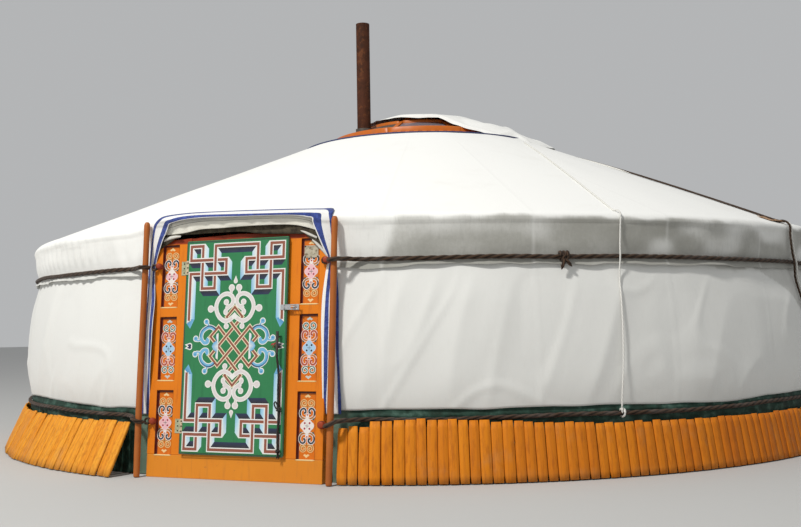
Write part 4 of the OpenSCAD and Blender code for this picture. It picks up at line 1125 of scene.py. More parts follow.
tarp = make_tarp()
f = Finish("green_tarpaulin", roughness=0.6, specular_ior_level=0.15)
blotch = f.noise(11, 4, 0.6)
green = f.ramp(blotch, (0.30, (0.012, 0.022, 0.014)), (0.52, (0.026, 0.062, 0.045)),
               (0.72, (0.095, 0.175, 0.140)))
# Mixes in the painted light beside the door
f.set("Base Color", f.mix(f.mark("pale") * 0.85, green, (0.13, 0.19, 0.14)))
f.bump(f.noise(60, 4, 0.6), 0.5, 0.003).on(tarp)

# %% [markdown]
# ## The smoke flap
# The flap is a separate cloth, pulled back from the crown and lying over its rear half. It hangs
# between the spokes like a slack drum skin, its front edge is turned under into a thick hem, and
# creases run from its corners, where its ropes pull.

# %% Smoke flap
FLAP_R = 1.330
# Radii, and the height of the cloth there
FLAP_SLOPE = ((0.03, 2.974), (0.170, 2.968), (0.340, 2.938), (0.520, 2.893), (0.700, 2.842), (0.850, 2.786),
              (1.000, 2.716), (1.150, 2.640), (FLAP_R, 2.541))


def make_flap():
    """The cloth from its front edge round the back to its other edge, and from the hub outwards."""
    across = np.linspace(0, 1, 150)[None, :]
    reach = np.concatenate([np.linspace(0.012, 0.985, 74), [0.995, 1.0, 0.998]])[:, None]
    flat_r = FLAP_R * reach
    wide = 1 - ease(flat_r, 0.53, 0.66)
    start = np.interp(flat_r, (0.45, 0.62, 0.85, 0.95, 1.10, 1.33), (-45, 36, 45, 54, 60, 62))
    end = 248 + 67 * wide
    angle = start + (end - start) * across
    r = flat_r * (1 - 0.030 * np.maximum(0, hills(across * 9, 0, 91)) * ease(reach, 0.6, 1.0))
    spoke = np.abs(np.sin(np.radians((angle % 45) * 4)))
    z = np.interp(r, *zip(*FLAP_SLOPE)) - 0.009 * spoke * ease(r, 0.25, 0.40) * (1 - ease(r, 0.78, 0.86))
    u = np.radians(angle) * np.maximum(r, 0.3)
    z = z + 0.006 * hills(u * 5 + r * 3, r * 6, 92) * ease(r, 0.15, 0.5)
    ridge = 1 - np.abs(hills(u * 2.6 - r * 2, r * 3 + u, 93))
    z = z + 0.020 * np.maximum(0, ridge - 0.82) / 0.18 * ease(r, 0.3, 0.7)
    edge = np.minimum(across, 1 - across) * np.radians(end - start) * np.maximum(r, 0.05)
    closed = ease(r, 0.45, 0.60)
    z = z + 0.012 * closed * np.exp(-(edge / 0.05) ** 2) + np.where(reach > 0.99, -0.006, 0.0)
    z = z - 0.048 * (1 - ease(angle - start, 0, 24)) * ease(r, 0.58, 0.80)
    points = round_tent(angle, r, z)
    for column, inward in ((0, 1), (-1, -1)):
        points[:, column, 2] -= 0.030 * closed[:, column]
        points[:, column + inward, 2] -= 0.008 * closed[:, column]
    flap = make_sheet("smoke_flap_cloth", points, "canvas", ["smoke_flap"], (points[..., 0], points[..., 1]),
                      soil=0.16 + 0.10 * hills(u * 4, r * 4, 94), seam=0.0)
    print("flap:", len(flap.data.polygons), "faces")
    return flap


flap = make_flap()
roof_canvas.on(flap)

# %% [markdown]
# ## The doorway's lining and border
# A white band with a thick and a thin blue stripe is sewn round the doorway: along the lip, round the
# corners and down both sides. Its edges wander, so it is given by stops, and at each stop by the
# places of its stripes in the picture. Smooth curves run through the stops and rays carry them onto
# the tent.

# %% Striped border
def side_stop(y, *xs):
    """A stop beside the door: places at one height of the picture."""
    return [(x, y) for x in xs]


def head_stop(x, *ys):
    """A stop over the door: places above one another."""
    return [(x, y) for y in ys]


# Five places across the border at every stop: white piping, thick stripe from and to, thin stripe from and to
border_stops = [side_stop(414, 149.2, 148.9, 146.5, 143.8, 141.2),
                side_stop(400, 149.7, 149.4, 146.8, 144.0, 141.8),
                side_stop(375, 150.0, 149.7, 148.3, 144.2, 142.6),
                side_stop(350, 151.2, 150.8, 148.8, 145.6, 144.0),
                side_stop(325, 152.8, 152.3, 149.8, 147.0, 145.6),
                side_stop(300, 155.0, 154.7, 151.8, 149.0, 147.6),
                side_stop(275, 155.2, 154.7, 152.8, 150.6, 149.0),
                side_stop(262, 156.8, 156.3, 154.2, 151.8, 150.0),
                side_stop(250, 159.9, 159.3, 156.3, 153.0, 151.0),
                side_stop(240, 163.2, 162.5, 158.8, 154.2, 152.2),
                side_stop(232, 166.8, 166.0, 161.6, 155.4, 153.2),
                [(168.9, 226.0), (168.0, 225.6), (163.8, 225.1), (157.4, 225.1), (154.5, 225.1)],
                [(170.0, 224.1), (169.3, 223.4), (166.1, 221.1), (160.8, 221.0), (158.1, 220.2)],
                [(172.9, 222.7), (172.6, 222.1), (170.2, 219.7), (165.2, 218.1), (164.0, 216.8)],
                [(179.7, 220.7), (179.5, 220.1), (178.4, 217.5), (175.5, 216.0), (174.8, 214.8)],
                head_stop(189.6, 218.9, 218.4, 216.0, 214.3, 213.2),
                head_stop(204.3, 217.6, 217.1, 215.1, 213.3, 212.3),
                head_stop(223, 216.9, 216.4, 214.6, 212.4, 211.5),
                head_stop(241.8, 216.3, 215.8, 214.1, 211.6, 210.7),
                head_stop(260.5, 215.6, 215.1, 213.6, 211.1, 210.1),
                head_stop(287.3, 215.1, 214.6, 212.9, 210.3, 209.3),
                [(300.6, 215.8), (301, 215.2), (303, 212.6), (304, 210.0), (306, 209.0)],
                [(307.0, 216.9), (307.5, 216.2), (313.6, 212.8), (318, 209.9), (322, 208.8)],
                [(311.9, 218.0), (312.8, 217.2), (320.8, 213.6), (327.5, 210.6), (333.5, 208.8)],
                [(312.6, 221.3), (313.5, 221.0), (321.3, 218.5), (329.0, 216.5), (332.4, 215.0)],
                side_stop(225, 313.6, 314.6, 321.8, 330.2, 331.9),
                side_stop(235, 317.7, 318.8, 323.9, 331.2, 332.5),
                side_stop(246, 322.3, 323.6, 327.0, 332.0, 333.6),
                side_stop(256, 326.6, 328.2, 330.0, 332.8, 334.8),
                side_stop(263, 327.0, 329.6, 331.0, 333.5, 335.6),
                side_stop(272, 325.8, 328.3, 330.8, 334.3, 336.6),
                side_stop(285, 323.9, 326.8, 330.3, 335.1, 337.9),
                side_stop(300, 322.2, 325.5, 329.0, 335.7, 338.7),
                side_stop(325, 321.2, 324.3, 328.5, 335.8, 338.7),
                side_stop(350, 321.8, 323.9, 328.0, 336.0, 338.8),
                side_stop(375, 322.0, 323.8, 327.5, 337.3, 339.7),
                side_stop(400, 322.7, 323.8, 326.2, 337.9, 341.0),
                side_stop(414, 323.1, 324.2, 326.5, 338.3, 341.3)]
ACROSS = (0, 0.5, 1, 1.25, 1.5, 1.75, 2, 2.25, 2.5, 2.75, 3, 3.5, 4)


def border_out(z, angle):
    """The border lies on the roof's edge, where the same lift needs a longer way outwards."""
    return sheet_out(z, angle) + 0.014 * ease(z, 1.655, 1.69)


def between_stops(stops, per_stop=7):
    """Finer stops on smooth curves through the given ones."""
    given = np.array([stops[0]] + stops + [stops[-1]], float)
    a, b, c, d = given[:-3, None], given[1:-2, None], given[2:-1, None], given[3:, None]
    t = (np.arange(per_stop) / per_stop)[None, :, None, None]
    fine = through(a, b, c, d, t)
    return np.concatenate([fine.reshape(-1, *given.shape[1:]), given[-1:]])


def laid_cloth(name, stops, across, out, per_stop=7, surface=sheet_out, puff=0.0, replaced=(), slot="trim"):
    """A cloth between lines given by their stops in the picture, laid on the tent."""
    fine = between_stops(stops, per_stop)
    q = np.asarray(across, float)
    low = np.minimum(q.astype(int), fine.shape[1] - 2)
    grid = fine[:, low] + (fine[:, low + 1] - fine[:, low]) * (q - low)[None, :, None]
    rows, columns = grid.shape[:2]
    lift = out + puff * np.sin(np.pi * q / q[-1])[None, :] + np.zeros((rows, 1))
    points = cast(grid.reshape(-1, 2), lift.ravel(), surface).reshape(rows, columns, 3)
    step = np.linalg.norm(np.diff(points[:, 0], axis=0), axis=1)
    along = np.concatenate([[0], np.cumsum(step)])[:, None]
    return make_sheet(name, points, slot, replaced, (along, 0.05 * q[None, :]), stripe=q[None, :])


border = laid_cloth("doorway_border", border_stops, ACROSS, 0.006, surface=border_out, puff=0.002,
                    replaced=["doorway_trim"])
thicken(border, 0.003)
f = Finish("striped_border", roughness=0.8, sheen_weight=0.2)
fray = f.mark("stripe") + (f.noise(90, 3, 0.6) - 0.5) * 0.10
blue = fray.step(0.99, 1.01) * (1 - fray.step(1.99, 2.01)) + fray.step(2.99, 3.01)
worn = f.noise(40, 4, 0.7)
f.set("Base Color",
      f.mix(blue, (0.84, 0.84, 0.82), f.mix(worn.step(0.35, 0.7), (0.012, 0.030, 0.17), (0.045, 0.085, 0.36))))
f.bump(f.waves(360, "X", mark="cloth") + f.waves(360, "Y", mark="cloth"), 0.3, 0.001).on(border)
print("border:", len(border.data.polygons), "faces")

# %% [markdown]
# ## The lining in the doorway
# A strip of cream cloth hangs inside the border and closes the gap over the lintel. It is laid like
# the border, on a surface that leans in towards its hem, and painted shade darkens it along its fold.

# %% Lining over the lintel
def lining_out(z, angle):
    """The lining hangs a little inside the border and leans in towards its hem."""
    lean = np.interp(z, (1.50, 1.60, 1.66, 1.72, 1.80), (3.478, 3.482, 3.492, 3.470, 3.30))
    return lean + 0.004 * hills(np.asarray(angle) * 1.4, z * 30, 102)


def lining_stop(x, y, u, v):
    """The top, both sides of the fold, and the hem of the lining at one stop."""
    return [(x, y - 1.5)] + [(x + (u - x) * share, y + (v - y) * share) for share in (0.30, 0.36)] + [(u, v)]


lining_stops = [lining_stop(*ends) for ends in ((166.5, 231, 165.2, 235.2), (168.3, 226, 168, 235.0),
        (169.9, 224.2, 175, 234.4), (179.6, 220.6, 184.2, 233.2), (189.6, 218.8, 192, 231.5),
        (204.3, 217.5, 202, 229.3), (223, 216.8, 221, 228.1), (241.8, 216.2, 241, 226.4),
        (260.5, 215.5, 259, 225.3), (287.3, 215, 282, 224.5), (300.6, 215.6, 294, 224.9),
        (307, 216.7, 301, 225.9), (312.5, 218.2, 307, 227.4), (314, 222, 311.5, 228.6),
        (316, 227.5, 316, 229.8))]
ACROSS_LINING = (0, 0.5, 1, 1.4, 1.7, 2, 2.15, 2.3, 2.45, 2.6, 2.75, 2.9, 3)
hood = laid_cloth("door_lining", lining_stops, ACROSS_LINING, 0.0, 9, lining_out, 0.003, ["door_hood"],
                  "lining")
thicken(hood, 0.004)
f = Finish("cream_lining", roughness=0.85, sheen_weight=0.2)
cream = f.noise(14, 4, 0.6)
tuck = f.mark("stripe")
# Painted shade: a dark line along the lining's fold
fold = tuck.step(0.98, 1.2) * (1 - tuck.step(1.5, 2.0))
colour = f.mix(cream, (0.80, 0.775, 0.67), (0.90, 0.88, 0.79))
f.set("Base Color", f.mix(fold * 0.85, colour, (0.10, 0.085, 0.06)))
f.bump(f.waves(400, "X", mark="cloth") * 0.3 + f.waves(400, "Y", mark="cloth") * 0.3 + cream - fold * 2,
       0.3, 0.003).on(hood)

# %% [markdown]
# ## Felt and piping over the frame's corners
# Dark felt is pushed into the gaps between the frame's corners and the roof, with pale piping over its
# edge; the felt's near-black is painted shade, the shadow under the lining. They are small cloths laid
# the same way.

# %% Cloth over the frame's corners
def corner_out(z, angle):
    """Just in front of the frame's leaning corners, and over the roof poles' ends between them."""
    return np.interp(z, (1.30, 1.60), (3.500, 3.474)) - 0.018 * (1 - ease(np.abs(angle), 5.0, 7.5))


# Dark felt that stands in for the shade over the lintel and the frame's top corners
# Every stop is a place on the upper edge of the cloth and one on its lower edge
shade_felt_stops = [
    [[(181, 230), (181, 235.0)], [(192, 227), (192, 234.6)], [(206, 225.6), (206, 233.4)],
     [(222, 224.6), (222, 232.5)], [(241.8, 223.4), (241.8, 231.6)], [(260.5, 222.6), (260.5, 233.6)],
     [(282, 222), (282, 233.8)], [(296, 223), (296, 233.8)], [(303, 224.5), (303, 234.2)]],
    [[(299, 226.5), (303, 233.0)], [(308, 228), (309, 237.2)], [(315, 229.5), (315, 243.3)],
     [(319, 235), (320, 248.7)], [(324, 246), (325, 254.2)], [(328, 255), (328.6, 259)]],
    [[(184.6, 233), (184.6, 234.4)], [(178, 233.5), (178, 237.2)], [(172, 234), (172, 242.0)],
     [(166, 234), (167, 245.3)], [(161, 238), (162, 249.0)], [(157, 249), (157.5, 255.0)]]]
pale_strips = [
    [[(300.5, 230.2), (301.5, 231.6)], [(305, 231.0), (304.5, 233.2)], [(310.5, 233.2), (309.5, 235.8)],
     [(317.5, 236.6), (316.6, 238.6)]],
    [[(312.3, 239.0), (312.0, 240.6)], [(316.8, 241.8), (315.6, 244.4)], [(321.2, 245.8), (319.4, 248.6)],
     [(325.4, 251.0), (323.8, 253.2)], [(328.6, 256.8), (327.6, 258.2)]],
    [[(181.0, 236.0), (181.0, 236.9)], [(175, 235.9), (175.4, 238.3)], [(169, 237.0), (169.4, 240.0)],
     [(164.0, 239.4), (164.0, 242.0)]]]
quarters = (0, 0.25, 0.5, 0.75, 1)
shade_felt_pieces = [laid_cloth(f"corner_shade_felt_{i}", stops, quarters, 0.0, 6, corner_out, 0.002, slot="lining")
                 for i, stops in enumerate(shade_felt_stops)]
strip_pieces = [laid_cloth(f"corner_piping_{i}", stops, quarters, 0.006, 6, corner_out, 0.006, slot="lining")
                for i, stops in enumerate(pale_strips)]
for piece in shade_felt_pieces + strip_pieces:
    thicken(piece, 0.003)
# Nearly black felt: painted shade under the lining
f = Finish("dark_felt_shade", roughness=0.95)
f.set("Base Color", f.mix(f.noise(26, 4, 0.7).step(0.3, 0.7), (0.020, 0.014, 0.008), (0.085, 0.070, 0.042)))
f.bump(f.noise(160, 3), 0.5, 0.002).on(*shade_felt_pieces)
mottled("grey_piping", 0.85, (30, 3), (0.50, 0.48, 0.42), (0.74, 0.73, 0.68), (140, 3)).on(*strip_pieces)
print("corners covered:", len(shade_felt_pieces) + len(strip_pieces), "cloths")

# %% [markdown]
# ## Bevels on the solids
# The solids of the door, the poles and the crown already have the right shape, so they are kept. They
# only get a small bevel, since the light on a rounded edge is what makes wood look like wood.

# %% Bevels on solids
ROOF_POLES = ["roof_poles_front", "roof_poles_right", "roof_poles_back", "roof_poles_left"]


def soften(names, width, segments=2):
    """Rounds the edges of solids."""
    for name in names:
        solid = solids[name]
        weld = solid.modifiers.new("weld", "WELD")
        weld.merge_threshold = 0.00005
        bevel = solid.modifiers.new("bevel", "BEVEL")
        bevel.width, bevel.segments = width, segments
        bevel.limit_method, bevel.angle_limit = "ANGLE", math.radians(35)
        bevel.harden_normals = True


soften(["door_threshold", "door_frame_left", "door_frame_right", "door_lintel", "door_leaf", "crown_ring",
        "crown_upper_ring", "post_boards"], 0.004)
soften(["number_plate", "hasp_plate", "hasp_arm"], 0.0008)
soften(ROOF_POLES, 0.004, 1)
print("edges softened")

# %% [markdown]
# ## Painted wood and bare wood
# Old oil paint is never one colour. Two shades lie in large patches, streaks follow the grain, and the
# paint is chipped where hands and weather wear it. One function makes all the woods of the tent. Above a
# given height the frame is dark red: the lintel's own paint, and painted shade on the tops of its sides.

# %% Wood paints
def painted_wood(name, first, second, worn, grain=(1, 1, 0.06), roughness=0.38, wear=0.5, red_and_shade_above=None):
    f = Finish(name, roughness=roughness, coat_weight=0.05, coat_roughness=0.3, specular_ior_level=0.25)
    shade = f.noise(3.5, 4, 0.6)
    streak = f.noise(42, 5, 0.62, grain)
    scuff = f.noise(17, 6, 0.72)
    chips = (scuff.step(0.62, 0.70)) * (f.noise(3.0, 2).step(0.45, 0.7)) * wear
    colour = f.mix(shade, first, second)
    if red_and_shade_above:
        # Dark red above the height: the lintel's own paint, and painted shade on the tops of the frame's sides
        colour = f.mix(f.height().step(red_and_shade_above, red_and_shade_above + 0.010), colour, (0.27, 0.032, 0.008))
    colour = f.mix(streak.step(0.52, 0.72) * 0.30, colour, worn)
    f.set("Base Color", f.mix(chips, colour, worn))
    f.set("Roughness", streak * 0.22 + (roughness - 0.1) + chips * 0.3)
    return f.bump(streak * 0.7 - chips * 1.2, 0.35, 0.0012)


orange_gloss = painted_wood("orange_gloss", (0.78, 0.225, 0.008), (0.66, 0.165, 0.007),
                            (0.38, 0.080, 0.008), red_and_shade_above=1.517)
orange_gloss.on("door_frame_left", "door_frame_right", "door_lintel")
painted_wood("threshold_orange", (0.74, 0.265, 0.018), (0.62, 0.195, 0.014), (0.40, 0.130, 0.030),
             roughness=0.5, wear=0.8).on("door_threshold")
painted_wood("panel_orange", (0.72, 0.180, 0.008), (0.60, 0.130, 0.007), (0.32, 0.06, 0.008)).on("frame_panels")
painted_wood("green_gloss", (0.030, 0.175, 0.068), (0.038, 0.225, 0.090), (0.012, 0.085, 0.034),
             wear=0.25).on("door_leaf")
painted_wood("pole_stain", (0.52, 0.160, 0.028), (0.27, 0.068, 0.014), (0.11, 0.032, 0.010), (1, 1, 0.035),
             0.5, 0.3).on(door_poles)
painted_wood("peg_paint", (0.36, 0.050, 0.014), (0.26, 0.034, 0.012), (0.10, 0.03, 0.02),
             roughness=0.55).on(pegs)
crown_paint = painted_wood("crown_paint", (0.64, 0.170, 0.018), (0.50, 0.120, 0.016), (0.28, 0.12, 0.06),
                           (0.4, 0.4, 0.4))
crown_paint.on("crown_ring", "crown_upper_ring", "crown_spokes", "post_boards")
painted_wood("pole_paint", (0.70, 0.200, 0.020), (0.56, 0.140, 0.016), (0.30, 0.08, 0.02), (0.3, 0.3, 0.3)).on(
    *ROOF_POLES, "crown_posts")
bare_lath = painted_wood("bare_lath", (0.26, 0.110, 0.055), (0.36, 0.165, 0.085), (0.15, 0.06, 0.03),
                         (1, 1, 0.12), 0.6, 0.2)
bare_lath.on(*[f"lattice_wall_{i}" for i in range(1, 7)])
print("wood painted")

# %% [markdown]
# ## Painting on boards
# The door leaf and the frame's panels carry painted ornament: crossing bands, an endless knot and
# scrolls. It could be a picture mapped onto the board, but no picture is used here, so the strokes
# are flat shapes a fraction of a millimetre above the board, each with its colour stored on its
# points. Outlines lie lowest, cores above them, and where one band passes over another a short
# bridge is laid on top. A slight shake makes the lines look hand painted.

# %% A brush
WHITE, CREAM = (0.80, 0.80, 0.77), (0.83, 0.72, 0.50)
BROWN, GREY_PINK = (0.270, 0.078, 0.045), (0.70, 0.65, 0.64)
SKY, PALE_SKY, MID_BLUE = (0.16, 0.44, 0.68), (0.48, 0.72, 0.85), (0.06, 0.27, 0.52)
NAVY, BLACK = (0.006, 0.022, 0.075), (0.006, 0.008, 0.012)


def curve_points(points, step=4.0):
    """A smooth line through points on a board, in millimetres."""
    return [(p[0], p[1]) for p in spaced([(x, y, 0) for x, y in points], step)[0]]


def arc_points(centre, r, angles, squeeze=1.0):
    """Points round a centre."""
    return [(centre[0] + r * math.cos(a), centre[1] + r * squeeze * math.sin(a)) for a in angles]


class Brush:
    """Flat strokes on a board, in millimetres from its middle, each repeated for every flip."""

    def __init__(self, place, shake=0.8, seed=5):
        self.place, self.shake, self.seed = place, shake, seed
        self.points, self.faces, self.colours = [], [], []
        self.flips = [(1, 1)]
        self.origin = (0.0, 0.0)
        self.strokes = 0

    def shape(self, outline, colour, level):
        """A filled outline; colour is one colour, or one for each point. Later strokes lie a hair higher."""
        colours = colour if isinstance(colour, list) else [colour] * len(outline)
        area = sum(a[0] * b[1] - b[0] * a[1] for a, b in zip(outline, outline[1:] + outline[:1]))
        middle = [sum(p[i] for p in outline) / len(outline) for i in (0, 1)]
        for turn, (sx, sy) in enumerate(self.flips):
            if (sx < 0 and abs(middle[0]) < 0.5) or (sy < 0 and abs(middle[1]) < 0.5):
                continue
            corners = list(zip(outline, colours))
            if area * sx * sy < 0:
                corners.reverse()
            start = len(self.points)
            for (x, y), c in corners:
                x, y = self.origin[0] + x * sx, self.origin[1] + y * sy
                x += self.shake * float(hills(x / 31, y / 31, self.seed))
                y += self.shake * float(hills(x / 31, y / 31, self.seed + 1))
                self.points.append(self.place(x, y, level * 0.12 + self.strokes % 16 * 0.006 + turn * 0.004))
                self.colours.append((*c, 1.0))
            self.faces.append(tuple(range(start, start + len(corners))))

    def band(self, line, width, colour, level, closed=False, shift=0.0, end_colour=None):
        """A stroke of even width with mitred corners, which may fade to another colour."""
        self.strokes += 1
        n = len(line)
        left, right = [], []
        for i in range(n):
            before = line[i - 1] if i or closed else line[i]
            after = line[(i + 1) % n] if i < n - 1 or closed else line[i]
            a = Vector((line[i][0] - before[0], line[i][1] - before[1]))
            b = Vector((after[0] - line[i][0], after[1] - line[i][1]))
            a = a.normalized() if a.length > 1e-6 else b.normalized()
            b = b.normalized() if b.length > 1e-6 else a
            middle = (a + b).normalized() if (a + b).length > 1e-6 else a
            normal = Vector((-middle.y, middle.x)) / max(0.4, middle.dot(a))
            here = Vector(line[i])
            left.append(tuple(here + normal * (shift + width / 2)))
            right.append(tuple(here + normal * (shift - width / 2)))
        for i in range(n if closed else n - 1):
            k = (i + 1) % n
            tone = colour
            if end_colour:
                s, t = i / (n - 1), (i + 1) / (n - 1)
                a, b = (tuple(c * (1 - q) + e * q for c, e in zip(colour, end_colour)) for q in (s, t))
                tone = [a, b, b, a]
            self.shape([right[i], right[k], left[k], left[i]], tone, level)

    def lined(self, line, width, edge, core, outline, level, closed=False):
        """A band with an outline on both sides."""
        self.band(line, width, outline, level, closed)
        self.band(line, width - 2 * edge, core, level + 1, closed)

    def bridge(self, at, towards, reach, width, edge, core, outline, level):
        """A short piece of band laid over a crossing."""
        d = Vector(towards).normalized() * reach
        line = [(at[0] - d.x, at[1] - d.y), (at[0] + d.x, at[1] + d.y)]
        self.lined(line, width, edge, core, outline, level)

    def ball(self, centre, r, colour, level, squeeze=1.0):
        """A round dot, which may be taller than wide."""
        self.strokes += 1
        self.shape(arc_points(centre, r, [2 * math.pi * k / 16 for k in range(16)], squeeze), colour, level)

    def drop(self, tip, centre, r, colour, level):
        """A round drop that runs to a tip."""
        self.strokes += 1
        d = Vector(tip) - Vector(centre)
        turn = math.atan2(d.y, d.x)
        ring = arc_points(centre, r, [turn + a for a in np.linspace(0.9, 2 * math.pi - 0.9, 12)])
        self.shape([tuple(tip)] + ring, colour, level)

    def piece(self, name, body, slot):
        obj = make_piece(name, self.points, self.faces, body, (), slot, smooth=False, paint=self.colours)
        print(name, len(self.faces), "strokes")
        return obj


print("brush ready")

# %% [markdown]
# ## The ornament of the leaf
# The leaf is painted with crossing bands in its corners, pale scrolls above and below, blue scrolls at
# the sides and an endless knot in the middle. What is alike in all four quarters is drawn once and
# repeated for four flips. The knot isn't its own mirror image, so it is drawn whole.

# %% Leaf ornament
LEAF_MIDDLE, LEAF_FRONT = 0.8445, -0.0252


def on_leaf(x, y, lift):
    """The point at millimetres across and up from the leaf's middle."""
    return on_door(x / 1000, LEAF_FRONT - lift / 1000, LEAF_MIDDLE + y / 1000)


def paint_corners(brush):
    """Crossing bands in the four corners, with painted depth towards the leaf's middle."""
    half, dx, dy = 16, 27, -34
    uprights = [(-158, 361, 641), (-254, 393, 673), (-343, 580, 641), (-75, 459, 580), (-343, 178, 459)]
    for x, low, high in uprights:
        e = x + half
        brush.shape([(e, low), (e + dx, low + dy if low != 178 else low), (e + dx, high + dy), (e, high)],
                    [PALE_SKY, SKY, PALE_SKY, WHITE], 0)
    brush.shape([(-359, 150), (-332, 116), (-300, 178), (-327, 178)], [MID_BLUE, SKY, SKY, MID_BLUE], 0)
    unders = [(641, -327, -270), (548, -359, -270), (548, -238, -174), (548, -142, -91),
              (459, -327, -270), (459, -238, -174), (459, -142, -59), (361, -270, -142)]
    for y, a, b in unders:
        brush.shape([(a, y), (a + dx, y + dy), (b + dx, y + dy), (b, y)], [BLACK, NAVY, NAVY, BLACK], 0.5)
    brush.shape([(-142, 641), (-115, 607), (0, 607), (0, 641)], [BLACK, NAVY, NAVY, BLACK], 0.5)
    path = [(0, 657), (-158, 657), (-158, 377), (-254, 377), (-254, 657), (-343, 657), (-343, 564),
            (-75, 564), (-75, 475), (-343, 475), (-343, 168)]
    brush.lined(path, 32, 7, BROWN, WHITE, 1)
    brush.shape([(-359, 168), (-359, 150), (-327, 178), (-327, 168)], WHITE, 1)
    for at, towards in (((-158, 564), (0, 1)), ((-158, 475), (1, 0)), ((-254, 475), (0, 1)),
                        ((-254, 564), (1, 0))):
        brush.bridge(at, towards, 19, 32, 7, BROWN, WHITE, 3)


def paint_knot(brush):
    """The endless knot: one loop and two strands that cross over and under by turns."""
    def at(i, j):
        return (i * 57.7, j * 62.7)

    loop = [at(*p) for p in ((0, 4), (-1, 3), (2, 0), (-1, -3), (0, -4), (1, -3), (-2, 0), (1, 3))]
    brush.lined(loop, 25, 5.5, BROWN, CREAM, 1.2, closed=True)
    for side in (1, -1):
        strand = [at(side * i, j) for i, j in ((-2.4, 0.4), (-3, 1), (-2, 2), (2, -2), (3, -1), (2.4, -0.4))]
        brush.lined(strand, 25, 5.5, BROWN, CREAM, 1.2)
    for i, j in ((0, 2), (1, 1), (-1, 1), (0, 0), (1, -1), (-1, -1), (0, -2)):
        down = i % 2 == 0
        brush.bridge(at(i, j), (57.7, -62.7) if down else (57.7, 62.7), 19, 25, 5.5, BROWN, CREAM, 3.4)


def paint_hearts(brush):
    """Pale heart-shaped scrolls above and below the knot, and drops beyond them."""
    arc = curve_points([(2, 196), (-40, 168), (-72, 163), (-108, 184), (-132, 222), (-138, 262),
                        (-122, 303), (-92, 330), (-56, 338), (-25, 324), (-13, 295), (-22, 268), (-44, 255),
                        (-66, 262)])
    tail = curve_points([(-24, 262), (-46, 246), (-66, 232)])
    buds = (((-27, 377), 23, (-31, 344), 22), ((-178, 242), 24, (-138, 241), 20),
            ((-58, 128), 19, (-64, 158), 20))
    for width, colour, level in ((30, WHITE, 6), (16, GREY_PINK, 7)):
        trim = (30 - width) / 2
        brush.band(arc, width, colour, level)
        brush.band(tail, width * 0.8, colour, level)
        brush.ball((-64, 284), 20 - trim, colour, level)
        brush.ball((-67, 220), 17 - trim, colour, level, 1.25)
        for ball, r, neck, wide in buds:
            brush.ball(ball, r - trim, colour, level)
            brush.band([neck, ball], wide - trim * 1.6, colour, level)
        brush.ball((-27, 384), 9 - trim * 0.4, colour, level)
    brush.shape([(0, 217), (-22, 196), (-14, 176), (0, 184)], WHITE, 7.5)
    brush.drop((0, 457), (0, 419), 15, WHITE, 1)
    brush.drop((0, 447), (0, 420), 9, GREY_PINK, 2)


def paint_sides(brush):
    """Blue scrolls, a wave and a drop at each side of the knot."""
    arc = curve_points([(-140, 106), (-160, 120), (-185, 125), (-211, 116), (-235, 95), (-244, 66),
                        (-238, 41), (-220, 24), (-199, 25), (-193, 40), (-204, 50)])
    brush.band(arc, 31, WHITE, 1)
    brush.band(arc, 21, SKY, 2)
    brush.band(arc[: int(len(arc) * 0.62)], 9, NAVY, 3, shift=-6.5, end_colour=MID_BLUE)
    for width, colour, level in ((0, WHITE, 1), (6, SKY, 2)):
        brush.ball((-208, 159), 21 - width, colour, level)
        brush.band([(-200, 120), (-192, 140), (-205, 158)], 17 - width * 1.4, colour, level)
        brush.ball((-284, 50), 21 - width, colour, level)
        brush.band([(-244, 62), (-254, 38), (-272, 36), (-286, 50)], 17 - width * 1.4, colour, level)
    brush.ball((-208, 162), 6, MID_BLUE, 3)
    brush.ball((-284, 52), 6, MID_BLUE, 3)
    wave = [(-113, 86), (-128, 78), (-133, 56), (-124, 36), (-150, 22), (-161, 0), (-113, 0)]
    brush.shape(wave, [WHITE, WHITE, SKY, SKY, SKY, SKY, WHITE], 4.5)
    brush.band([(-126, 78), (-131, 58), (-122, 36), (-147, 20), (-158, 0)], 8, NAVY, 4.8)
    brush.drop((-367, 12), (-326, 6), 17, WHITE, 1)
    brush.drop((-350, 10), (-327, 6), 10, NAVY, 2)


leaf_paint = Brush(on_leaf)
leaf_paint.flips = [(1, 1), (-1, 1), (1, -1), (-1, -1)]
paint_corners(leaf_paint)
paint_hearts(leaf_paint)
paint_sides(leaf_paint)
leaf_paint.flips = [(1, 1)]
paint_knot(leaf_paint)
for x0, y0, x1, y1 in ((-375, -688, -375, 688), (375, -688, 375, 688), (-375, 686, 375, 686),
                       (-375, -686, 375, -686)):
    leaf_paint.band([(x0, y0), (x1, y1)], 9, (0.012, 0.075, 0.040), 0.2)
leaf_ornament = leaf_paint.piece("leaf_ornament", "door", "door_green")

# %% [markdown]
# ## The panels of the frame
# Six recessed panels carry scrolls round a rosette, in two sets of colours. One function paints a
# panel, and a loop moves the brush's origin from one panel to the next.

# %% Panels of the frame
PANEL_X, PANEL_DEPTH = 0.520, 0.0176
FRAME_ROWS = (0.145, 0.627, 1.109)
# Colours of the spiral, its edge, the hook, its edge, the petals, their dots and the bud
PANEL_PAINTS = {
    "pink": ((0.50, 0.16, 0.02), (0.86, 0.60, 0.26), (0.02, 0.03, 0.05), (0.84, 0.78, 0.74), (0.84, 0.50, 0.54),
             (0.36, 0.012, 0.05), (0.86, 0.60, 0.28)),
    "blue": ((0.03, 0.12, 0.09), (0.80, 0.84, 0.78), (0.42, 0.07, 0.03), (0.88, 0.66, 0.62), (0.38, 0.60, 0.80),
             (0.01, 0.01, 0.015), (0.55, 0.60, 0.56))}


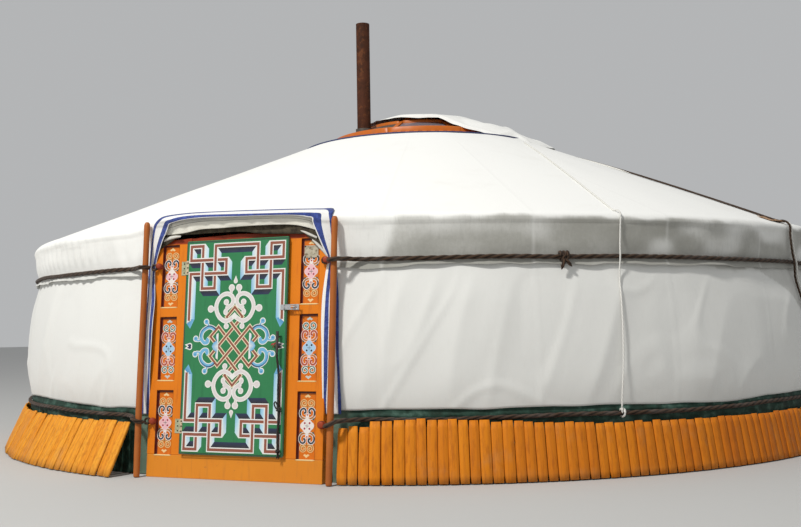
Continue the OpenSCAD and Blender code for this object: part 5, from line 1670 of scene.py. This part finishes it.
def paint_panel(brush, kind):
    """One upright panel: scrolls, a rosette, and the same scrolls upside down."""
    spiral, spiral_edge, hook, hook_edge, petal, dot, bud = PANEL_PAINTS[kind]
    brush.flips = [(1, 1), (-1, 1), (1, -1), (-1, -1)]
    winding = zip(np.linspace(-2.3, 5.6, 26), np.linspace(25, 7, 26))
    curl = [(23 + r * math.cos(a), 139 + r * math.sin(a)) for a, r in winding]
    brush.lined(curl, 15, 4, spiral, spiral_edge, 1)
    arm = curve_points([(4, 44), (28, 47), (45, 60), (50, 82), (42, 100), (26, 106), (13, 96), (14, 82),
                        (25, 79)], 3.0)
    brush.band(arm, 19, hook_edge, 2)
    brush.band(arm, 11, (0.52, 0.20, 0.03), 3, end_colour=hook)
    brush.band(arm[len(arm) // 3:], 11, hook, 3.3)
    brush.ball((0, 62), 12, hook_edge, 1.5, 1.3)
    brush.ball((0, 68), 5, dot, 2.5)
    for r, colour, level in ((24, hook_edge, 3.6), (21, petal, 4)):
        brush.ball((24, 0), r, colour, level)
        brush.ball((0, 26), r, colour, level)
        brush.ball((11, 12), r, colour, level)
    brush.ball((17, 17), 6.5, dot, 5)
    brush.band([(0, 0), (14, 0)], 3, (0.10, 0.12, 0.12), 5)
    brush.band([(0, 0), (0, 14)], 3, (0.10, 0.12, 0.12), 5)
    brush.drop((52, 50), (42, 40), 5.5, (0.05, 0.08, 0.06), 4)
    brush.shape([(0, 178), (12, 172), (22, 180), (10, 187), (0, 196)], bud, 1)
    brush.ball((0, 116), 5, (0.30, 0.16, 0.03), 2)


panel_brush = Brush(lambda x, y, lift: on_door(x / 1000, PANEL_DEPTH - lift / 1000, y / 1000), shake=1.0)
for side in (-1, 1):
    for row, kind in zip(FRAME_ROWS, ("pink", "blue", "pink")):
        panel_brush.origin = (side * 1000 * PANEL_X, 1000 * row + 205.0)
        paint_panel(panel_brush, kind)
panel_ornament = panel_brush.piece("panel_ornament", "ger", "panel")

# %% [markdown]
# ## Reveals and sills
# The sides of each recess are dark red, its top is painted darker as shade, and a thin cream strip is
# nailed under it. Dark strips on each panel's left and top are the painted shadow of the recess's walls.
# The sides are flat quads just in front of the solid's own, and the cream strips are small boards like
# those of the skirt.

# %% Reveals and sills of the panels
def line_panels():
    """Dark red sides, a top darker as painted shade, pale sills, and painted shadow on each panel's left and
    top.
    """
    points, faces, colours = [], [], []
    # The top of each recess and the strips on the panels are painted dark, as shade and cast shadow
    red, dark, sill = (0.20, 0.022, 0.012), (0.12, 0.012, 0.008), (0.80, 0.62, 0.40)

    def quad(corners, colour):
        add_shell(points, faces, [on_door(*corner) for corner in corners], [(0, 1, 2, 3)])
        colours.extend([(*colour, 1.0)] * 4)

    for side in (-1, 1):
        for row in FRAME_ROWS:
            u0, u1, w0, w1 = side * PANEL_X - 0.0634, side * PANEL_X + 0.0634, row + 0.0006, row + 0.4144
            for (ua, wa), (ub, wb), colour in (((u0, w0), (u0, w1), red), ((u0, w1), (u1, w1), dark),
                                               ((u1, w1), (u1, w0), red), ((u1, w0), (u0, w0), sill)):
                near, far = 0.0006, PANEL_DEPTH + 0.0002
                quad([(ua, near, wa), (ub, near, wb), (ub, far, wb), (ua, far, wa)], colour)
            # Painted shadow of the recess's left and top walls, lying on the panel
            for (ua, wa), (ub, wb) in (((u0, w0), (u0 + 0.012, w1)), ((u0 + 0.012, w1 - 0.010), (u1, w1))):
                quad([(u, PANEL_DEPTH, w) for u, w in ((ua, wa), (ub, wa), (ub, wb), (ua, wb))], dark)
    return make_piece("panel_reveals", points, faces, "ger", (), "door_orange", smooth=False, paint=colours)


def make_sills():
    """A thin cream strip nailed under each recess, a little wider than it."""
    points, faces = [], []
    out = (on_door(0, -1, 0) - on_door(0, 0, 0)).normalized()
    for side in (-1, 1):
        for row in FRAME_ROWS:
            middle = side * PANEL_X - 0.003
            ends = [on_door(middle + side_step, 0.0012, row - 0.0035) for side_step in (-0.070, 0.070)]
            add_shell(points, faces, *board(*ends, Z, out, 0.0085, 0.0065, round_off=0.0012))
    return make_piece("panel_sills", points, faces, "ger", (), "door_orange")


reveals = line_panels()
sills = make_sills()
painted_wood("sill_cream", (0.86, 0.66, 0.32), (0.76, 0.52, 0.22), (0.50, 0.24, 0.08), (1, 1, 1), 0.5,
             0.6).on(sills)
f = Finish("ornament_paint", roughness=0.42, coat_weight=0.08, coat_roughness=0.3)
tint = f.node("ShaderNodeAttribute", {"attribute_name": "paint"}, out="Color")
fade = f.noise(22, 4, 0.65)
worn = f.noise(7, 5, 0.7)
colour = f.mix(fade * 0.28, tint, f.mix(0.5, tint, (0.16, 0.13, 0.10)))
f.set("Base Color", f.mix(worn.step(0.60, 0.74) * 0.25, colour, (0.20, 0.15, 0.10)))
f.set("Roughness", fade * 0.2 + 0.32)
f.bump(f.noise(60, 4, 0.6, (1, 1, 0.25)), 0.3, 0.0008).on(leaf_ornament, panel_ornament, reveals)

# %% [markdown]
# ## Metal, glass and leather
# The rest are small things in plain view: worn hinges, a zinc hasp, a rusty stovepipe, grey glass.

# %% Metals, glass and leather
def metal(name, clean, worn, roughness, metallic=0.0, rust=None, scale=14, shine=0.5):
    f = Finish(name, roughness=roughness, metallic=metallic, specular_ior_level=shine)
    patch = f.noise(scale, 5, 0.65)
    pit = f.noise(scale * 9, 4, 0.7)
    colour = f.mix(patch.step(0.40, 0.68), clean, worn)
    if rust:
        colour = f.mix(f.noise(scale * 1.7, 6, 0.7).step(0.52, 0.64), colour, rust)
    f.set("Base Color", colour).set("Roughness", pit * 0.3 + (roughness - 0.12))
    return f.bump(pit, 0.4, 0.0008)


metal("worn_hinge", (0.44, 0.46, 0.30), (0.33, 0.35, 0.22), 0.5, 0.1, (0.20, 0.13, 0.07),
      30).on("hinge_plates_fixed")
metal("cream_hinge", (0.60, 0.50, 0.34), (0.42, 0.38, 0.24), 0.5, 0.1, (0.22, 0.13, 0.07),
      30).on("hinge_plates_moving")
SCREW = [(0, 0.0050), (0.6, 0.0050), (0.9, 0.0040), (1.0, 0.0016)]
HINGE_ROWS = (0.331, 1.363)


def screw_heads(name, columns, rows, near, far, slot="hinge", body="ger"):
    """Round heads at columns and rows on the leaning door, from one depth out to another."""
    return lathes(name, [(on_door(u, near, w), on_door(u, far, w), SCREW) for u in columns for w in rows],
                  slot, body)


fixed_rows, moving_rows = ([w + d for w in HINGE_ROWS for d in (-gap, 0.0, gap)] for gap in (0.030, 0.032))
fixed_screws = screw_heads("hinge_screws_frame", [-0.410], fixed_rows, -0.0028, -0.0050)
moving_screws = screw_heads("hinge_screws_leaf", [-0.3665], moving_rows, -0.0278, -0.0296, body="door")
plate_nails = screw_heads("plate_nails", (PANEL_X - 0.043, PANEL_X + 0.043), (1.408, 1.474), 0.0142, 0.0120,
                          "plate")
metal("dark_screw", (0.035, 0.028, 0.022), (0.060, 0.045, 0.035), 0.6, 0.3).on(fixed_screws, moving_screws,
        plate_nails)
metal("zinc", (0.62, 0.63, 0.64), (0.45, 0.46, 0.47), 0.35, 0.9, scale=40).on("hasp_plate", "hasp_arm",
        "hasp_staple")
metal("bare_plate", (0.50, 0.45, 0.34), (0.34, 0.30, 0.21), 0.5, 0.15, (0.16, 0.12, 0.07),
      30).on("number_plate")
metal("dark_iron", (0.10, 0.09, 0.085), (0.06, 0.05, 0.045), 0.55, 0.4).on("door_handle")
metal("sheet_iron", (0.10, 0.085, 0.070), (0.06, 0.055, 0.045), 0.6, 0.2).on("pipe_plate")
metal("rusty_pipe", (0.075, 0.025, 0.012), (0.040, 0.016, 0.009), 0.75, 0.0, (0.120, 0.042, 0.016), 9,
      0.15).on("stovepipe")
f = Finish("crown_glass", (0.30, 0.28, 0.33), roughness=0.12, transmission_weight=0.35, ior=1.45)
f.set("Roughness", f.noise(5, 4) * 0.25 + 0.05).on("crown_panes")
mottled("tan_pad", 0.7, (30, 4), (0.30, 0.17, 0.09), (0.46, 0.29, 0.17), (120, 3)).on(pads)
print("metals, glass and pad finished")

# %% [markdown]
# ## Floor and light
# A pale floor, a bright soft sky and one large soft light from the upper left, where the sun stood.

# %% Studio
def make_floor(r=60, corners=64):
    """A wide round floor a millimetre below the tent."""
    angles = [2 * math.pi * k / corners for k in range(corners)]
    mesh = bpy.data.meshes.new("floor")
    mesh.from_pydata([(r * math.cos(a), r * math.sin(a), -0.001) for a in angles], [], [tuple(range(corners))])
    floor = bpy.data.objects.new("floor", mesh)
    bpy.context.scene.collection.objects.link(floor)
    f = Finish("pale_floor", (0.50, 0.50, 0.49), roughness=0.9)
    f.set("Roughness", f.noise(0.7) * 0.1 + 0.85).on(floor)
    return floor


def make_light(name, place, target, size, power, colour=(1, 1, 1)):
    """A round soft light that points at a target."""
    data = bpy.data.lights.new(name, "AREA")
    data.shape, data.size, data.energy, data.color = "DISK", size, power, colour
    light = bpy.data.objects.new(name, data)
    light.location = place
    light.rotation_euler = (Vector(target) - Vector(place)).to_track_quat("-Z", "Y").to_euler()
    bpy.context.scene.collection.objects.link(light)
    return light


make_floor()
make_light("key", (-2.9, -13.7, 13.5), (0, 0, 1.2), 1.8, 2350, (1.0, 0.98, 0.94))
world = bpy.data.worlds.new("sky")
bpy.context.scene.world = world
world.use_nodes = True
world.node_tree.nodes["Background"].inputs["Color"].default_value = (0.97, 0.985, 1.0, 1.0)
world.node_tree.nodes["Background"].inputs["Strength"].default_value = 0.47
bpy.context.scene.view_settings.view_transform = "Standard"
print("studio ready")
